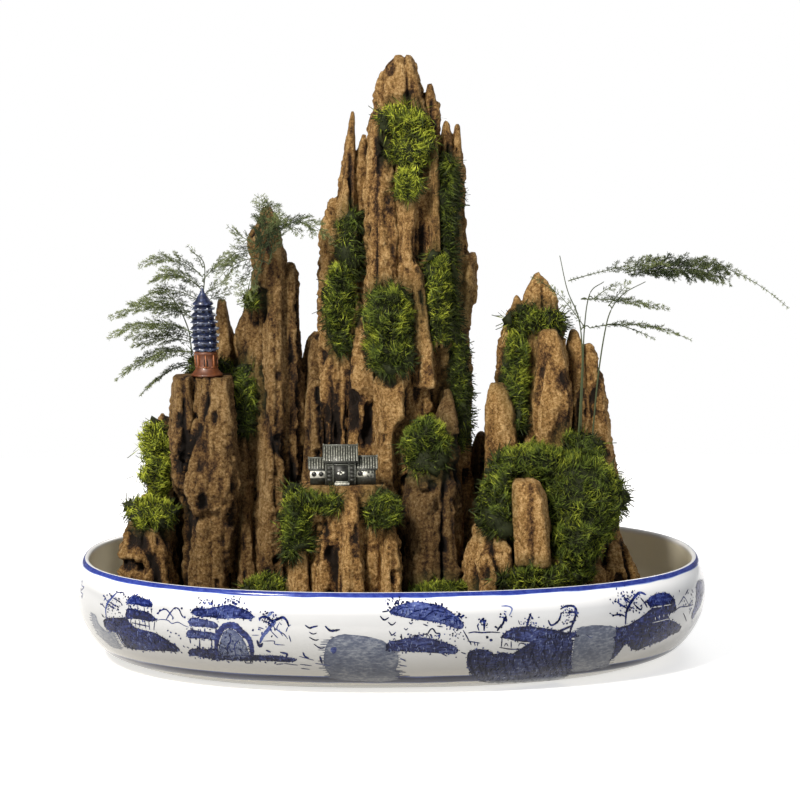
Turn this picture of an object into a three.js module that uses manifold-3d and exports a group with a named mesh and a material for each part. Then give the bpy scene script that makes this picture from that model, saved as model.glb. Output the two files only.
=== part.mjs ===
// A landscape penjing: tufa stones set up as mountains in an oval blue-and-white tray, with moss,
// three asparagus ferns, a glazed pagoda and a small cast house.
// Millimetres, +Z up, the viewer's side is -Y. The origin is the middle of the tray's underside.
import * as THREE from "three";
import { mergeVertices } from "three/addons/utils/BufferGeometryUtils.js";
import Module from "manifold-3d";

const wasm = await Module();
wasm.setup();

// Driving dimensions
const TRAY_LENGTH = 400; // outside of the rim
const TRAY_WIDTH = 280;
const TRAY_HEIGHT = 65;
const TRAY_FLOOR = 7;
const TRAY_OVAL = 2.3; // superellipse power: 2 is an ellipse, more is squarer
const TRAY_SEGMENTS = 32;
const GAP = 0.3; // air left between pieces that touch
const SLIVER = 0.12; // faces thinner than this, left by the cuts, are closed up
const ROOM_HEIGHT = 460; // stones, moss and ferns all end well below this
const ROOM_INSET = 5; // how far inside the rim's outline they stay above the tray
const SLAB_SIDES = 6;
const SLAB_SQUARENESS = 0.55; // 0 gives a round section, 1 a square one
const LUMP_SHARE = 0.14; // how far a slab's lumps draw in, as a share of its half width
const LUMP_COLUMNS = 6;
const LUMP_ROWS = 4;
const STEM_SIDES = 4;
const PAGODA_SEAT = 183; // height of the flat top that the pagoda stands on
const HOUSE_SEAT = 119; // height of the ledge that the house stands on
const STEM_RADIUS = 0.7;
const FROND_HALF_THICKNESS = 1.5;

const COLOURS = {
  porcelain: [0xe9e9e4, 0.12],
  tufa: [0xa9814f, 0.95],
  moss: [0x5c7419, 0.95],
  fern: [0x3d5a35, 0.7],
  stem: [0x4b6130, 0.6],
  blueGlaze: [0x2c3f78, 0.2],
  pewter: [0x6f7773, 0.45],
};

const penjing = new THREE.Group();
penjing.name = "penjing";

// Repeatable random numbers, one stream for each seed
function randomStream(seed) {
  let state = (seed * 2654435761) >>> 0;
  return () => {
    state = (state + 0x6d2b79f5) >>> 0;
    let t = Math.imul(state ^ (state >>> 15), 1 | state);
    t = (t + Math.imul(t ^ (t >>> 7), 61 | t)) ^ t;
    return ((t ^ (t >>> 14)) >>> 0) / 4294967296;
  };
}

// From a three.js geometry to a solid and back
function toSolid(geometry) {
  const bare = geometry.index ? geometry.toNonIndexed() : geometry.clone();
  bare.deleteAttribute("normal");
  bare.deleteAttribute("uv");
  const merged = mergeVertices(bare, 1e-4);
  const mesh = new wasm.Mesh({
    numProp: 3,
    vertProperties: merged.getAttribute("position").array,
    triVerts: new Uint32Array(merged.index.array),
  });
  return new wasm.Manifold(mesh);
}

function toGeometry(solid) {
  const mesh = solid.getMesh();
  const geometry = new THREE.BufferGeometry();
  geometry.setAttribute("position", new THREE.BufferAttribute(mesh.vertProperties, 3));
  geometry.setIndex(new THREE.BufferAttribute(mesh.triVerts, 1));
  geometry.computeVertexNormals();
  return geometry;
}

function joined(solids) {
  return solids.reduce((whole, next) => whole.add(next));
}

// A solid as it was cut, without the slivers and the loose crumbs that the cuts leave
function cleaned(solid) {
  const bodies = solid.simplify(SLIVER).decompose();
  return bodies.reduce((best, next) => (next.volume() > best.volume() ? next : best));
}

function addPiece(name, solid, finish) {
  const [color, roughness] = COLOURS[finish];
  const material = new THREE.MeshStandardMaterial({ color, roughness, metalness: 0 });
  const mesh = new THREE.Mesh(toGeometry(cleaned(solid)), material);
  mesh.name = name;
  penjing.add(mesh);
}

// Rings of points, one above the other or one after another, closed with a fan at each end
function loftGeometry(rings) {
  const sides = rings[0].length;
  const points = rings.flat();
  const faces = [];
  for (let r = 0; r + 1 < rings.length; r++) {
    for (let i = 0; i < sides; i++) {
      const a = r * sides + i;
      const b = r * sides + ((i + 1) % sides);
      faces.push(a, b, b + sides, a, b + sides, a + sides);
    }
  }
  const last = (rings.length - 1) * sides;
  for (let i = 1; i + 1 < sides; i++) {
    faces.push(0, i + 1, i);
    faces.push(last, last + i, last + i + 1);
  }
  const geometry = new THREE.BufferGeometry();
  geometry.setAttribute("position", new THREE.Float32BufferAttribute(points.flat(), 3));
  geometry.setIndex(faces);
  return geometry;
}

// Tray: one fired piece with a bulging wall, a rounded lip and a flat base.
// Each profile point is [how far inside the rim's outline, height].
const TRAY_OUTSIDE = [
  [34, 0],
  [27, 1.5],
  [13, 7.5],
  [2, 20],
  [-4, 36],
  [-3.6, 50],
  [0, 62],
  [1.5, TRAY_HEIGHT],
];
const TRAY_INSIDE = [
  [4, TRAY_HEIGHT],
  [1.5, 38],
  [8, 20],
  [20, 10],
  [36, TRAY_FLOOR],
];

function ovalRing(inset, z) {
  const ring = [];
  for (let i = 0; i < TRAY_SEGMENTS; i++) {
    const angle = (i / TRAY_SEGMENTS) * 2 * Math.PI;
    const c = Math.cos(angle);
    const s = Math.sin(angle);
    const x = (TRAY_LENGTH / 2 - inset) * Math.sign(c) * Math.abs(c) ** (2 / TRAY_OVAL);
    const y = (TRAY_WIDTH / 2 - inset) * Math.sign(s) * Math.abs(s) ** (2 / TRAY_OVAL);
    ring.push([x, y, z]);
  }
  return ring;
}

const trayRings = [...TRAY_OUTSIDE, ...TRAY_INSIDE].map(([inset, z]) => ovalRing(inset, z));
const tray = toSolid(loftGeometry(trayRings));
addPiece("tray", tray, "porcelain");

// What the stones may fill: the inside of the tray, a gap away from it, open upwards
const roomRings = TRAY_INSIDE.toReversed().map(([inset, z]) => ovalRing(inset + GAP, z + GAP));
const room = toSolid(loftGeometry([...roomRings, ovalRing(ROOM_INSET + GAP, ROOM_HEIGHT)]));

// A slab is one upright piece of tufa. Each of its rows is [height, left, right, front, back],
// and its section is an uneven polygon that just fills that box, with lumps of its own at each row.
function slabSolid(rows, seed, grow) {
  const random = randomStream(seed);
  const corners = [];
  for (let i = 0; i < SLAB_SIDES; i++) {
    const angle = ((i + 0.5 * random()) / SLAB_SIDES) * 2 * Math.PI;
    const squareness = 1 / Math.max(Math.abs(Math.cos(angle)), Math.abs(Math.sin(angle)));
    const reach = 1 - SLAB_SQUARENESS + SLAB_SQUARENESS * squareness;
    corners.push([Math.cos(angle) * reach, Math.sin(angle) * reach]);
  }
  const span = [0, 1].map((axis) => {
    const values = corners.map((corner) => corner[axis]);
    return { low: Math.min(...values), high: Math.max(...values) };
  });
  const rings = rows.map(([z, left, right, front, back], level) => {
    const top = level === rows.length - 1;
    return corners.map(([cx, cy]) => {
      const u = (2 * (cx - span[0].low)) / (span[0].high - span[0].low) - 1;
      const v = (2 * (cy - span[1].low)) / (span[1].high - span[1].low) - 1;
      const lump = 1 - LUMP_SHARE * random();
      const reach = Math.hypot(u, v) || 1;
      const x = (left + right) / 2 + (u * lump * (right - left)) / 2 + (u / reach) * grow;
      const y = (front + back) / 2 + (v * lump * (back - front)) / 2 + (v / reach) * grow;
      return [x, y, top ? z + grow : z];
    });
  });
  return toSolid(loftGeometry(rings));
}

function boxSolid(low, high) {
  const size = high.map((value, axis) => value - low[axis]);
  const geometry = new THREE.BoxGeometry(...size);
  geometry.translate(low[0] + size[0] / 2, low[1] + size[1] / 2, low[2] + size[2] / 2);
  return toSolid(geometry);
}

// A lump is a rough ball with its own radius along each axis
function lumpSolid([x, y, z, rx, ry, rz], grow = 0) {
  const geometry = new THREE.SphereGeometry(1, LUMP_COLUMNS, LUMP_ROWS);
  geometry.rotateX(Math.PI / 2);
  geometry.scale(rx + grow, ry + grow, rz + grow);
  geometry.translate(x, y, z);
  return toSolid(geometry);
}

// Stones: each is a list of slabs grown together, from the foot of a slab to its top
const STONES = {
  main_peak: [
    [
      [8, -34, 44, -40, 44], [120, -30, 44, -32, 40], [300, -17, 33, -13, 30],
      [345, -13, 28, -9, 25], [366, -8, 22, -6, 20], [381, -3, 18, -3, 16], [385, 2, 14, 1, 11],
    ],
    [[216, -17, 4, -31, 2], [330, -14, 1, -17, 2], [347, -8, 0, -12, 2]],
    [
      [8, -16, 6, -54, -14], [148, -11, 2, -44, -14], [158, -11, 10, -43, -10],
      [224, -12, 12, -33, -4], [242, -8, 8, -25, 0],
    ],
    [[236, 1, 18, -29, 0], [326, 3, 16, -18, 0], [337, 5, 12, -12, 0]],
    [[200, 23, 34, -30, 0], [326, 23, 30.5, -15, 0], [334, 25, 29, -10, 0]],
    [[280, 16, 34, -8, 20], [346, 20, 31, -4, 14], [368, 24.3, 26.5, 3, 7]],
    [[177, 14, 29, -42, -12], [247, 11.5, 21, -31, -6], [257, 12, 15, -27, -10]],
    [[8, -38, -14, -40, 4], [180, -28, -10, -27, 4], [226, -24, -14, -14, 4]],
    [[8, -44, 42, -4, 68], [282, -22, 22, 6, 42], [320, -8, 8, 12, 30]],
  ],
  main_left_slab: [
    [[8, -52, -26, -28, 26], [272, -43.5, -30, -6, 22], [294, -40, -35, 3, 13]],
    [[60, -38, -20, -24, 28], [288, -36.5, -22, -6, 22], [350, -24.9, -23.5, 6.5, 8.5]],
    [[60, -28, -12, -2, 34], [312, -25, -14, 4, 20], [336, -17.6, -16, 9, 12]],
  ],
  main_right_slab: [
    [[8, 40, 64, -44, 6], [93, 46, 58, -29, 6], [101, 49, 55, -22, 4]],
    [[8, 20, 52, -30, 32], [200, 24, 47, -20, 28], [324, 31, 41, -5, 20], [343, 34.5, 37.5, 3, 10]],
    [
      [100, 36, 52, -16, 28], [262, 40, 49, -10, 24], [322, 39.5, 46, -2, 20],
      [342, 42, 44.4, 4, 10],
    ],
    [
      [8, 36, 62, -28, 32], [183, 38, 49.5, -14, 24], [250, 44, 54, -8, 19],
      [258, 48, 53.4, -4, 13],
    ],
    [[8, 18, 58, 16, 62], [230, 25, 45, 14, 44], [286, 33, 38, 20, 29]],
  ],
  left_peak: [
    [
      [8, -98, -62, -40, 30], [110, -88, -66, -31, 24], [255, -88, -67, -10, 21],
      [269, -91, -70, -8, 19], [281, -85, -72, -4, 15], [288, -82.6, -77, 0, 9],
    ],
    [[8, -74, -52, -26, 32], [245, -69, -60.5, -3, 22], [252, -67, -62, 2, 16]],
    [[8, -112, -84, -24, 34], [208, -97.5, -84, -5, 28], [233, -93, -88, 4, 18]],
    [[8, -106, -50, 12, 66], [190, -92, -63, 10, 46], [247, -84, -72, 13, 29]],
  ],
  saddle_stone: [
    [
      [8, -64, -36, -10, 52], [192, -57, -42, 2, 36], [202, -54, -44, 6, 28],
      [206, -51, -46, 10, 20],
    ],
    [[8, -62, -36, -28, 4], [166, -55, -42, -9, 6], [179, -52, -45, -3, 4]],
  ],
  back_left_stone: [
    [[8, -130, -96, 16, 64], [194, -118, -102, 22, 49], [228, -112.5, -108, 30, 35]],
    [[8, -106, -82, 24, 68], [198, -103, -90, 27, 48], [216, -98, -93, 33, 40]],
  ],
  pagoda_pillar: [
    [[112, -141, -122, -42, -4], [137, -142, -125, -43, -4], [190, -138, -128.5, -36, -10]],
    [[112, -130, -95, -44, -4], [145, -126.5, -99, -46, -4], [190, -123, -103, -37, -10]],
    [
      [8, -136, -98, -46, 24], [64, -134, -99, -43, 20], [96, -134.5, -93, -45, 18],
      [121, -141, -92.5, -46, 14], [192, -134, -104, -28, 10],
    ],
    [[96, -128, -102, -46, -32], [114, -135, -98, -52, -30], [154, -127, -106, -43, -30]],
    [[8, -106, -86, -38, 2], [100, -99, -91, -32, 2], [142, -97, -94, -19, 0]],
  ],
  left_foot_stone: [
    [[8, -168, -136, -26, 24], [147, -154, -140, -7, 15], [154, -150, -143, -2, 9]],
    [
      [8, -172, -134, -52, -6], [70, -176, -138, -47, -6], [85, -171, -140, -42, -7],
      [94, -160, -145, -31, -12],
    ],
    [[8, -174, -150, -24, 26], [86, -168, -150, -17, 21], [109, -158, -152, -5, 9]],
    [
      [8, -168, -128, 8, 46], [84, -162, -131, 9, 41], [112, -154, -135, 11, 33],
      [121, -148, -140, 15, 25],
    ],
  ],
  house_ledge: [
    [[8, -40, -17, -97, -48], [111, -34, -21, -85, -48], [115, -32, -23, -81, -52]],
    [[8, -54, -32, -87, -48], [84, -48.5, -33, -81, -48], [111, -43, -37, -70, -50]],
    [[8, -72, -52, -91, -50], [85, -63.5, -54.5, -82, -52], [92, -61, -57, -75, -58]],
    [[8, -12, 8, -89, -50], [83, -7, 2, -80, -54], [90, -5, -0.5, -73, -58]],
    [[8, -24, -6, -86, -48], [99, -20, -10, -73, -50], [107, -18, -12, -67, -52]],
    [[8, -62, 4, -80, -38], [90, -61, -2, -78, -38], [126, -61, -3, -77, -40]],
  ],
  front_pillar: [
    [[8, 6, 44, -66, -22], [118, 10, 39.5, -56, -22], [143, 17, 31, -44, -28]],
    [[60, 26, 45, -52, -18], [157, 28, 41, -41, -20], [172, 33.5, 37, -32, -27]],
    [[8, -2, 16, -57, -22], [104, 6, 14, -45, -24], [115, 8.5, 12.5, -38, -27]],
  ],
  right_peak: [
    [
      [8, 74, 122, -32, 42], [130, 77, 118, -22, 34], [211, 82, 113, -8, 25],
      [234, 86.7, 106, -1, 18], [245, 94, 98.5, 6, 11],
    ],
    [[8, 62, 92, -26, 34], [194, 71, 92, -6, 22], [231, 81, 83.5, 4, 9]],
    [
      [8, 60, 134, -48, 44], [70, 61, 133, -45, 40], [108, 66, 129, -38, 32],
      [130, 76, 120, -27, 24], [140, 86, 112, -16, 16],
    ],
    [[8, 66, 132, 18, 68], [168, 82, 113, 18, 44], [190, 90, 105, 21, 33]],
  ],
  right_side_slab: [
    [
      [40, 110, 134, -28, 28], [140, 112, 130, -16, 24], [201, 114.5, 124.5, -6, 15],
      [209, 117, 121, -1, 9],
    ],
    [
      [8, 118, 156, -28, 34], [112, 120, 149, -18, 27], [193, 124.5, 135, -4, 13],
      [200, 126.5, 131, 1, 8],
    ],
  ],
  right_front_slab: [
    [
      [128, 93, 114, -26, -6], [166, 91, 117, -31, -4], [203, 93, 110, -27, -6],
      [210.5, 95, 106, -24, -9],
    ],
  ],
  right_left_slab: [
    [
      [8, 54, 88, -38, 0], [110, 58.5, 85, -29, 0], [161, 60, 80, -24, -1],
      [171, 61.5, 77, -22, -3], [175.5, 64, 73, -18, -6],
    ],
  ],
  right_block: [
    [
      [70, 74.5, 100.5, -87, -54], [112, 72, 95.5, -86, -55], [119.5, 72.5, 92, -83, -58],
      [121.5, 74, 88, -79, -62],
    ],
  ],
  right_edge_stone: [
    [
      [8, 42, 78, -88, -28], [66, 46, 76, -83, -28], [104, 57, 74, -68, -32],
      [120, 64, 68, -52, -44],
    ],
    [[8, 68, 124, -90, -38], [66, 72, 115, -83, -40], [71, 77, 107, -76, -46]],
  ],
  right_foot_stone: [
    [
      [8, 124, 160, -54, -8], [54, 126, 157, -50, -9], [72, 128, 152, -43, -12],
      [80, 132, 147, -34, -18],
    ],
    [[8, 110, 142, -72, -34], [59, 114, 134, -61, -38], [65, 118, 129, -54, -43]],
  ],
  gap_stone: [
    [[8, 48, 78, -2, 52], [110, 53, 71, 4, 43], [134, 56, 67, 10, 33], [140, 58, 63.5, 15, 25]],
  ],
};

// Flat seats sawn in two stones, and the pits that show from a step away
const SEATS = {
  pagoda_pillar: boxSolid([-160, -70, PAGODA_SEAT], [-80, 30, 240]),
  house_ledge: boxSolid([-80, -100, HOUSE_SEAT], [20, -20, 160]),
};
const PITS = {
  front_pillar: [
    [20, -57, 112, 5, 7, 4],
    [27, -56, 103, 4, 6, 5],
  ],
  left_foot_stone: [[-160, -48, 62, 6, 7, 7]],
  pagoda_pillar: [[-117, -46, 96, 8, 9, 6]],
};

let seed = 3;
let rock = null;
for (const [name, slabs] of Object.entries(STONES)) {
  const firstSeed = seed;
  seed += slabs.length;
  const shape = (grow) => joined(slabs.map((rows, i) => slabSolid(rows, firstSeed + i, grow)));
  let stone = shape(0).intersect(room);
  let grown = shape(GAP);
  if (SEATS[name]) {
    stone = stone.subtract(SEATS[name]);
    grown = grown.subtract(SEATS[name].translate([0, 0, GAP]));
  }
  for (const pit of PITS[name] ?? []) {
    stone = stone.subtract(lumpSolid(pit));
  }
  if (rock) {
    stone = stone.subtract(rock);
  }
  addPiece(name, stone, "tufa");
  rock = rock ? rock.add(grown) : grown;
}

// Pagoda: one fired piece, an eight-sided tower of seven eaves on a flared base with a spire
const PAGODA_PLACE = [-120.5, -24, PAGODA_SEAT + GAP];
const PAGODA_LEAN = -0.035; // sideways for each millimetre up
const PAGODA_TIERS = 7;
const TOWER_FOOT = 17; // height of the base that the tower stands on
const TIER_RISE = 4.3;
const EAVE_RADIUS = 9.3; // at the lowest eave, and each next one is drawn in by EAVE_TAPER
const EAVE_TAPER = 0.32;
const EAVE_REACH = 1.7; // from the tower's wall to the edge of an eave
const EAVE_SLOPE = 2;
const BASE_PROFILE = [[0, 0], [9.2, 0], [8.9, 1.6], [7.7, 3.4], [7.3, TOWER_FOOT - 1]];
const SPIRE_PROFILE = [[7.2, 0], [3, 3.6], [1.5, 5.2], [0.5, 8.4], [0, 8.6]];

function pagodaSolid(grow) {
  const profile = [...BASE_PROFILE];
  for (let tier = 0; tier < PAGODA_TIERS; tier++) {
    const eave = EAVE_RADIUS - EAVE_TAPER * tier;
    const z = TOWER_FOOT + tier * TIER_RISE;
    profile.push([eave, z], [eave - EAVE_REACH, z + EAVE_SLOPE]);
  }
  const roof = TOWER_FOOT + PAGODA_TIERS * TIER_RISE;
  profile.push(...SPIRE_PROFILE.map(([r, z]) => [r, roof + z]));
  const points = profile.map(([r, z]) =>
    r ? new THREE.Vector2(r + grow, z) : new THREE.Vector2(0, z + Math.sign(z) * grow),
  );
  const geometry = new THREE.LatheGeometry(points, 8, Math.PI / 8);
  geometry.rotateX(Math.PI / 2);
  geometry.applyMatrix4(new THREE.Matrix4().makeShear(0, 0, 0, 0, PAGODA_LEAN, 0));
  geometry.translate(...PAGODA_PLACE);
  return toSolid(geometry);
}
addPiece("pagoda", pagodaSolid(0), "blueGlaze");

// House: one casting with a tall hall between two low wings, each under a gable roof.
// Each block is [left, right, front, back, eave, ridge] above the ledge.
const HOUSE_BLOCKS = [
  [-43, -23.7, -69, -55, 14.4, 24.4],
  [-52.2, -43, -67.5, -56, 9.4, 16.4],
  [-23.7, -11.4, -67.5, -56, 9.4, 17.4],
];
const ROOF_OVERHANG = 0.7;
const ROOF_EDGE = 1; // thickness of the roof at its eave
const HOUSE_STEP = [-37.4, -28, -72, -68, 1.6]; // left, right, front, back, height

function gableSolid(left, right, front, back, eave, ridge) {
  const middle = (front + back) / 2;
  const outline = [
    [front, eave], [back, eave], [back, eave + ROOF_EDGE], [middle, ridge],
    [front, eave + ROOF_EDGE],
  ];
  return toSolid(loftGeometry([left, right].map((x) => outline.map(([y, z]) => [x, y, z]))));
}

function houseSolid(grow) {
  const foot = HOUSE_SEAT + GAP;
  const blocks = HOUSE_BLOCKS.map(([left, right, front, back, eave, ridge]) => {
    const out = ROOF_OVERHANG + grow;
    const walls = boxSolid(
      [left - grow, front - grow, foot],
      [right + grow, back + grow, foot + eave + ROOF_EDGE / 2],
    );
    return walls.add(
      gableSolid(
        left - out, right + out, front - out, back + out, foot + eave - grow, foot + ridge + grow,
      ),
    );
  });
  const [left, right, front, back, rise] = HOUSE_STEP;
  const step = boxSolid([left - grow, front - grow, foot], [right + grow, back, foot + rise + grow]);
  return joined([...blocks, step]);
}
addPiece("house", houseSolid(0), "pewter");

// Ferns: wiry stems that root in moss, each with flat fronds. A stem is the points it runs
// through, from the root. A frond is [root, middle, tip, greatest width].
const FERNS = {
  right_fern: {
    stems: [
      [
        [119, -29, 139], [121, -27, 179], [121.5, -25, 200], [119, -24, 220], [112, -23, 237],
        [107, -22, 259],
      ],
      [
        [129, -22, 143], [132, -22, 179], [136, -23, 209], [140, -24, 224.5], [148, -25, 235],
        [161.5, -26, 242.5],
      ],
      [[121.5, -20, 141], [122.7, -19.5, 180], [123.5, -19, 212], [127, -18, 234.5], [136, -17, 242]],
    ],
    fronds: [
      [[112, -26, 243], [168, -28, 257], [196, -30, 255], 30],
      [[198, -30, 255], [228, -31, 248], [252, -32, 226], 26],
      [[140, -27, 219], [158, -31, 229], [177, -34, 224], 22],
      [[137, -20, 205], [160, -13, 213], [195, -8, 204], 22],
      [[125, -16, 229], [142, -8, 234], [164, -4, 230], 20],
      [[117, -27, 219], [106, -28, 236], [88, -27, 247], 12],
    ],
  },
  left_fern: {
    stems: [
      [[-128, 5, 180], [-129, 5, 196], [-131, 4, 211], [-138.7, 3, 227.6], [-150, 2, 238]],
      [[-124, 9, 180], [-123, 9, 205], [-121.7, 9, 228], [-120.4, 9, 252], [-129, 9, 261]],
    ],
    fronds: [
      [[-123, 12, 247], [-142, 14, 258], [-163, 14, 256], 22],
      [[-124, 15, 234], [-142, 20, 243], [-162, 24, 239], 22],
      [[-141, 1, 227], [-160, -2, 227], [-182, -4, 217], 26],
      [[-133, 0, 212], [-158, -10, 216], [-183, -14, 205], 26],
      [[-131, 8, 197], [-154, 12, 192], [-180, 14, 177], 26],
      [[-131, 12, 188], [-149, 20, 182], [-167, 26, 163], 20],
    ],
  },
  peak_fern: {
    stems: [[[-89, -12, 229], [-86, -19, 244], [-81, -20, 260], [-78, -19, 272]]],
    fronds: [
      [[-88, -20, 247], [-101, -22, 250], [-117, -22, 236], 22],
      [[-83, -22, 259], [-95, -24, 270], [-107, -26, 277], 20],
      [[-78.5, -20, 274], [-80, -21, 286], [-84, -20, 297], 14],
      [[-76, -21, 270], [-57, -24, 281], [-36, -25, 262], 24],
    ],
  },
};

function stemSolid(points, grow) {
  const curve = new THREE.CatmullRomCurve3(points.map((point) => new THREE.Vector3(...point)));
  const section = new THREE.Shape();
  section.absarc(0, 0, STEM_RADIUS + grow, 0, 2 * Math.PI);
  const geometry = new THREE.ExtrudeGeometry(section, {
    steps: points.length,
    curveSegments: STEM_SIDES / 2,
    extrudePath: curve,
    bevelEnabled: false,
  });
  return toSolid(geometry);
}

// A frond is a thin spray, widest before its middle, that bends along its rib
const FROND_OUTLINE = [
  [0, 0.06],
  [0.28, 0.88],
  [0.65, 0.9],
  [1, 0.06],
];

function frondSolid([from, middle, to, width], grow) {
  const [start, control, end] = [from, middle, to].map((point) => new THREE.Vector3(...point));
  const rib = new THREE.QuadraticBezierCurve3(start, control, end);
  const up = new THREE.Vector3(0, 0, 1);
  const rings = FROND_OUTLINE.map(([share, size]) => {
    const middlePoint = rib.getPoint(share);
    const along = rib.getTangent(share);
    const across = new THREE.Vector3().crossVectors(up, along).normalize();
    const normal = new THREE.Vector3().crossVectors(along, across);
    const halfWidth = (width / 2) * size + grow;
    const halfThickness = FROND_HALF_THICKNESS * Math.sqrt(size) + grow;
    const section = [
      [across, halfWidth],
      [normal, halfThickness],
      [across, -halfWidth],
      [normal, -halfThickness],
    ];
    return section.map(([axis, reach]) => middlePoint.clone().addScaledVector(axis, reach).toArray());
  });
  return toSolid(loftGeometry(rings));
}

const stems = [];
for (const [plant, { stems: routes }] of Object.entries(FERNS)) {
  routes.forEach((route, i) => {
    const name = routes.length > 1 ? `${plant}_stem_${i + 1}` : `${plant}_stem`;
    stems.push([name, stemSolid(route, 0), stemSolid(route, GAP)]);
  });
}
// All that is made so far, grown by the gap, for the next piece to be cut by
let taken = joined([rock, pagodaSolid(GAP), houseSolid(GAP)]);
for (const [name, plain, grown] of stems) {
  addPiece(name, plain.subtract(taken), "stem");
  taken = taken.add(grown);
}

// Moss: cushions of shoots, each a few lumps grown together on the stone
const MOSS = {
  summit_moss: [
    [8, -14, 346, 18, 13, 12],
    [13, -14, 329, 18, 13, 17],
    [10, -22, 306, 9, 10, 13],
  ],
  left_cleft_moss: [
    [-26, -4, 266, 9, 10, 26],
    [-33, -11, 226, 13, 11, 32],
  ],
  heart_moss: [
    [-2, -31, 224, 20, 17, 22],
    [-3, -35, 203, 17, 14, 22],
  ],
  right_cleft_moss: [[28, -22, 231, 11, 13, 34]],
  right_strip_moss: [
    [38, -10, 290, 9, 10, 42],
    [42, -15, 224, 10, 10, 46],
    [44, -18, 168, 10, 11, 34],
  ],
  pillar_moss: [[21, -46, 140, 17, 13, 24]],
  ledge_left_moss: [
    [-48, -78, 112, 16, 9, 9],
    [-62, -76, 98, 13, 13, 26],
  ],
  ledge_right_moss: [[-7, -74, 106, 13, 13, 13]],
  far_left_moss: [
    [-151, -16, 130, 12, 13, 30],
    [-154, -26, 94, 16, 16, 15],
  ],
  pagoda_back_moss: [
    [-112, 3, 185, 24, 13, 8],
    [-94, -7, 165, 11, 11, 28],
  ],
  peak_root_moss: [[-89, -11, 231, 7, 7, 7]],
  right_peak_moss: [
    [94, -4, 216, 22, 14, 11],
    [80, -12, 176, 12, 13, 38],
  ],
  right_cushion_moss: [
    [118, -48, 106, 33, 27, 36],
    [122, -26, 137, 18, 15, 13],
    [88, -46, 129, 32, 22, 14],
    [66, -60, 106, 14, 19, 32],
    [112, -70, 76, 18, 16, 26],
    [88, -84, 62, 26, 10, 11],
  ],
  tray_left_moss: [[-78, -60, 50, 20, 16, 14]],
  tray_middle_moss: [[28, -66, 44, 28, 18, 16]],
  back_moss: [[2, 50, 216, 18, 14, 38]],
};
for (const [name, lumps] of Object.entries(MOSS)) {
  const plain = joined(lumps.map((lump) => lumpSolid(lump)));
  addPiece(name, plain.intersect(room).subtract(taken), "moss");
  taken = taken.add(joined(lumps.map((lump) => lumpSolid(lump, GAP))));
}

// Fronds come after what they hang over
for (const [plant, { fronds }] of Object.entries(FERNS)) {
  fronds.forEach((frond, i) => {
    addPiece(`${plant}_frond_${i + 1}`, frondSolid(frond, 0).subtract(taken), "fern");
    taken = taken.add(frondSolid(frond, GAP));
  });
}

export default penjing;
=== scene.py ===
# %% [markdown]
# # A landscape penjing: tufa peaks, moss and ferns in a blue-and-white tray
#
# A penjing is a whole mountain view on a table. This one has eighteen pieces of tufa set on end in an
# oval porcelain tray, cushions of moss in the clefts, three asparagus ferns, a pottery pagoda and a
# cast house. The solids of all these come from the frame at their real size. What is made here is
# what the eye reads up close: crumb and flutes in the stone, shoots in the moss, needles on the
# ferns, glaze and brushwork on the tray.

# %% Load the frame
import itertools
import math

import bpy
import numpy as np
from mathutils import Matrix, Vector
from mathutils.bvhtree import BVHTree
from mathutils.geometry import delaunay_2d_cdt
from mathutils.kdtree import KDTree


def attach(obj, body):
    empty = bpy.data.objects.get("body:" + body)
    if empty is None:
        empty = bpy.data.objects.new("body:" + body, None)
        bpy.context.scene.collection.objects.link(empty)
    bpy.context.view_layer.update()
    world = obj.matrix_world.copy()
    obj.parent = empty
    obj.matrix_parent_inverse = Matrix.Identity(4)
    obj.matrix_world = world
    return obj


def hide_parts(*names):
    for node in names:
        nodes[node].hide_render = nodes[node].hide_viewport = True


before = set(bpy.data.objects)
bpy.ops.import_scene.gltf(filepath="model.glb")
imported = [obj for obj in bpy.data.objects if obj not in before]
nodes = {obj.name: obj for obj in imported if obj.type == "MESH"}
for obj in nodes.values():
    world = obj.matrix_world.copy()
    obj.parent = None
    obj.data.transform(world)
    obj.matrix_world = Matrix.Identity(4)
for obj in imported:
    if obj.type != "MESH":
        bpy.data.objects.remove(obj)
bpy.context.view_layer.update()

MM = 0.001

# %% [markdown]
# ## The camera and the light
#
# The view is from the front, a little above the rim, with a long lens so that the far side of the
# tray is hardly smaller than the near side. The numbers describe the camera as a photographer
# would: how far off, how high, how much to one side, and where it points. A long lens far away
# keeps the upright stones parallel, where a short lens close by would make them lean together.

# %% Camera
CAMERA_DISTANCE = 1.5
CAMERA_RISE = math.radians(6.6)
CAMERA_TURN = math.radians(2.0)
CAMERA_TARGET = Vector((0.006, 0, 0.1643))
FRAME_PIXELS = 800
FOCAL_PIXELS = 2310
SENSOR = 36

aim = Vector((
    math.sin(CAMERA_TURN) * math.cos(CAMERA_RISE),
    math.cos(CAMERA_TURN) * math.cos(CAMERA_RISE),
    -math.sin(CAMERA_RISE),
))
camera_data = bpy.data.cameras.new("camera")
camera_data.sensor_width = SENSOR
camera_data.lens = FOCAL_PIXELS * SENSOR / FRAME_PIXELS
camera_data.clip_start = 0.05
camera = bpy.data.objects.new("camera", camera_data)
bpy.context.scene.collection.objects.link(camera)
camera.location = CAMERA_TARGET - aim * CAMERA_DISTANCE
camera.rotation_euler = aim.to_track_quat("-Z", "Y").to_euler()
bpy.context.scene.camera = camera
print("lens", round(camera_data.lens, 1), "mm")

# %% [markdown]
# The stones show bright left faces and deep brown shadow between the slabs. A broad light high on
# the left gives that, a weaker one on the right keeps the shadows readable, and a pale world fills
# in the rest and is what the glaze mirrors. Area lights are used rather than a sun, because their
# size makes the edges of the shadows soft.

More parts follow.
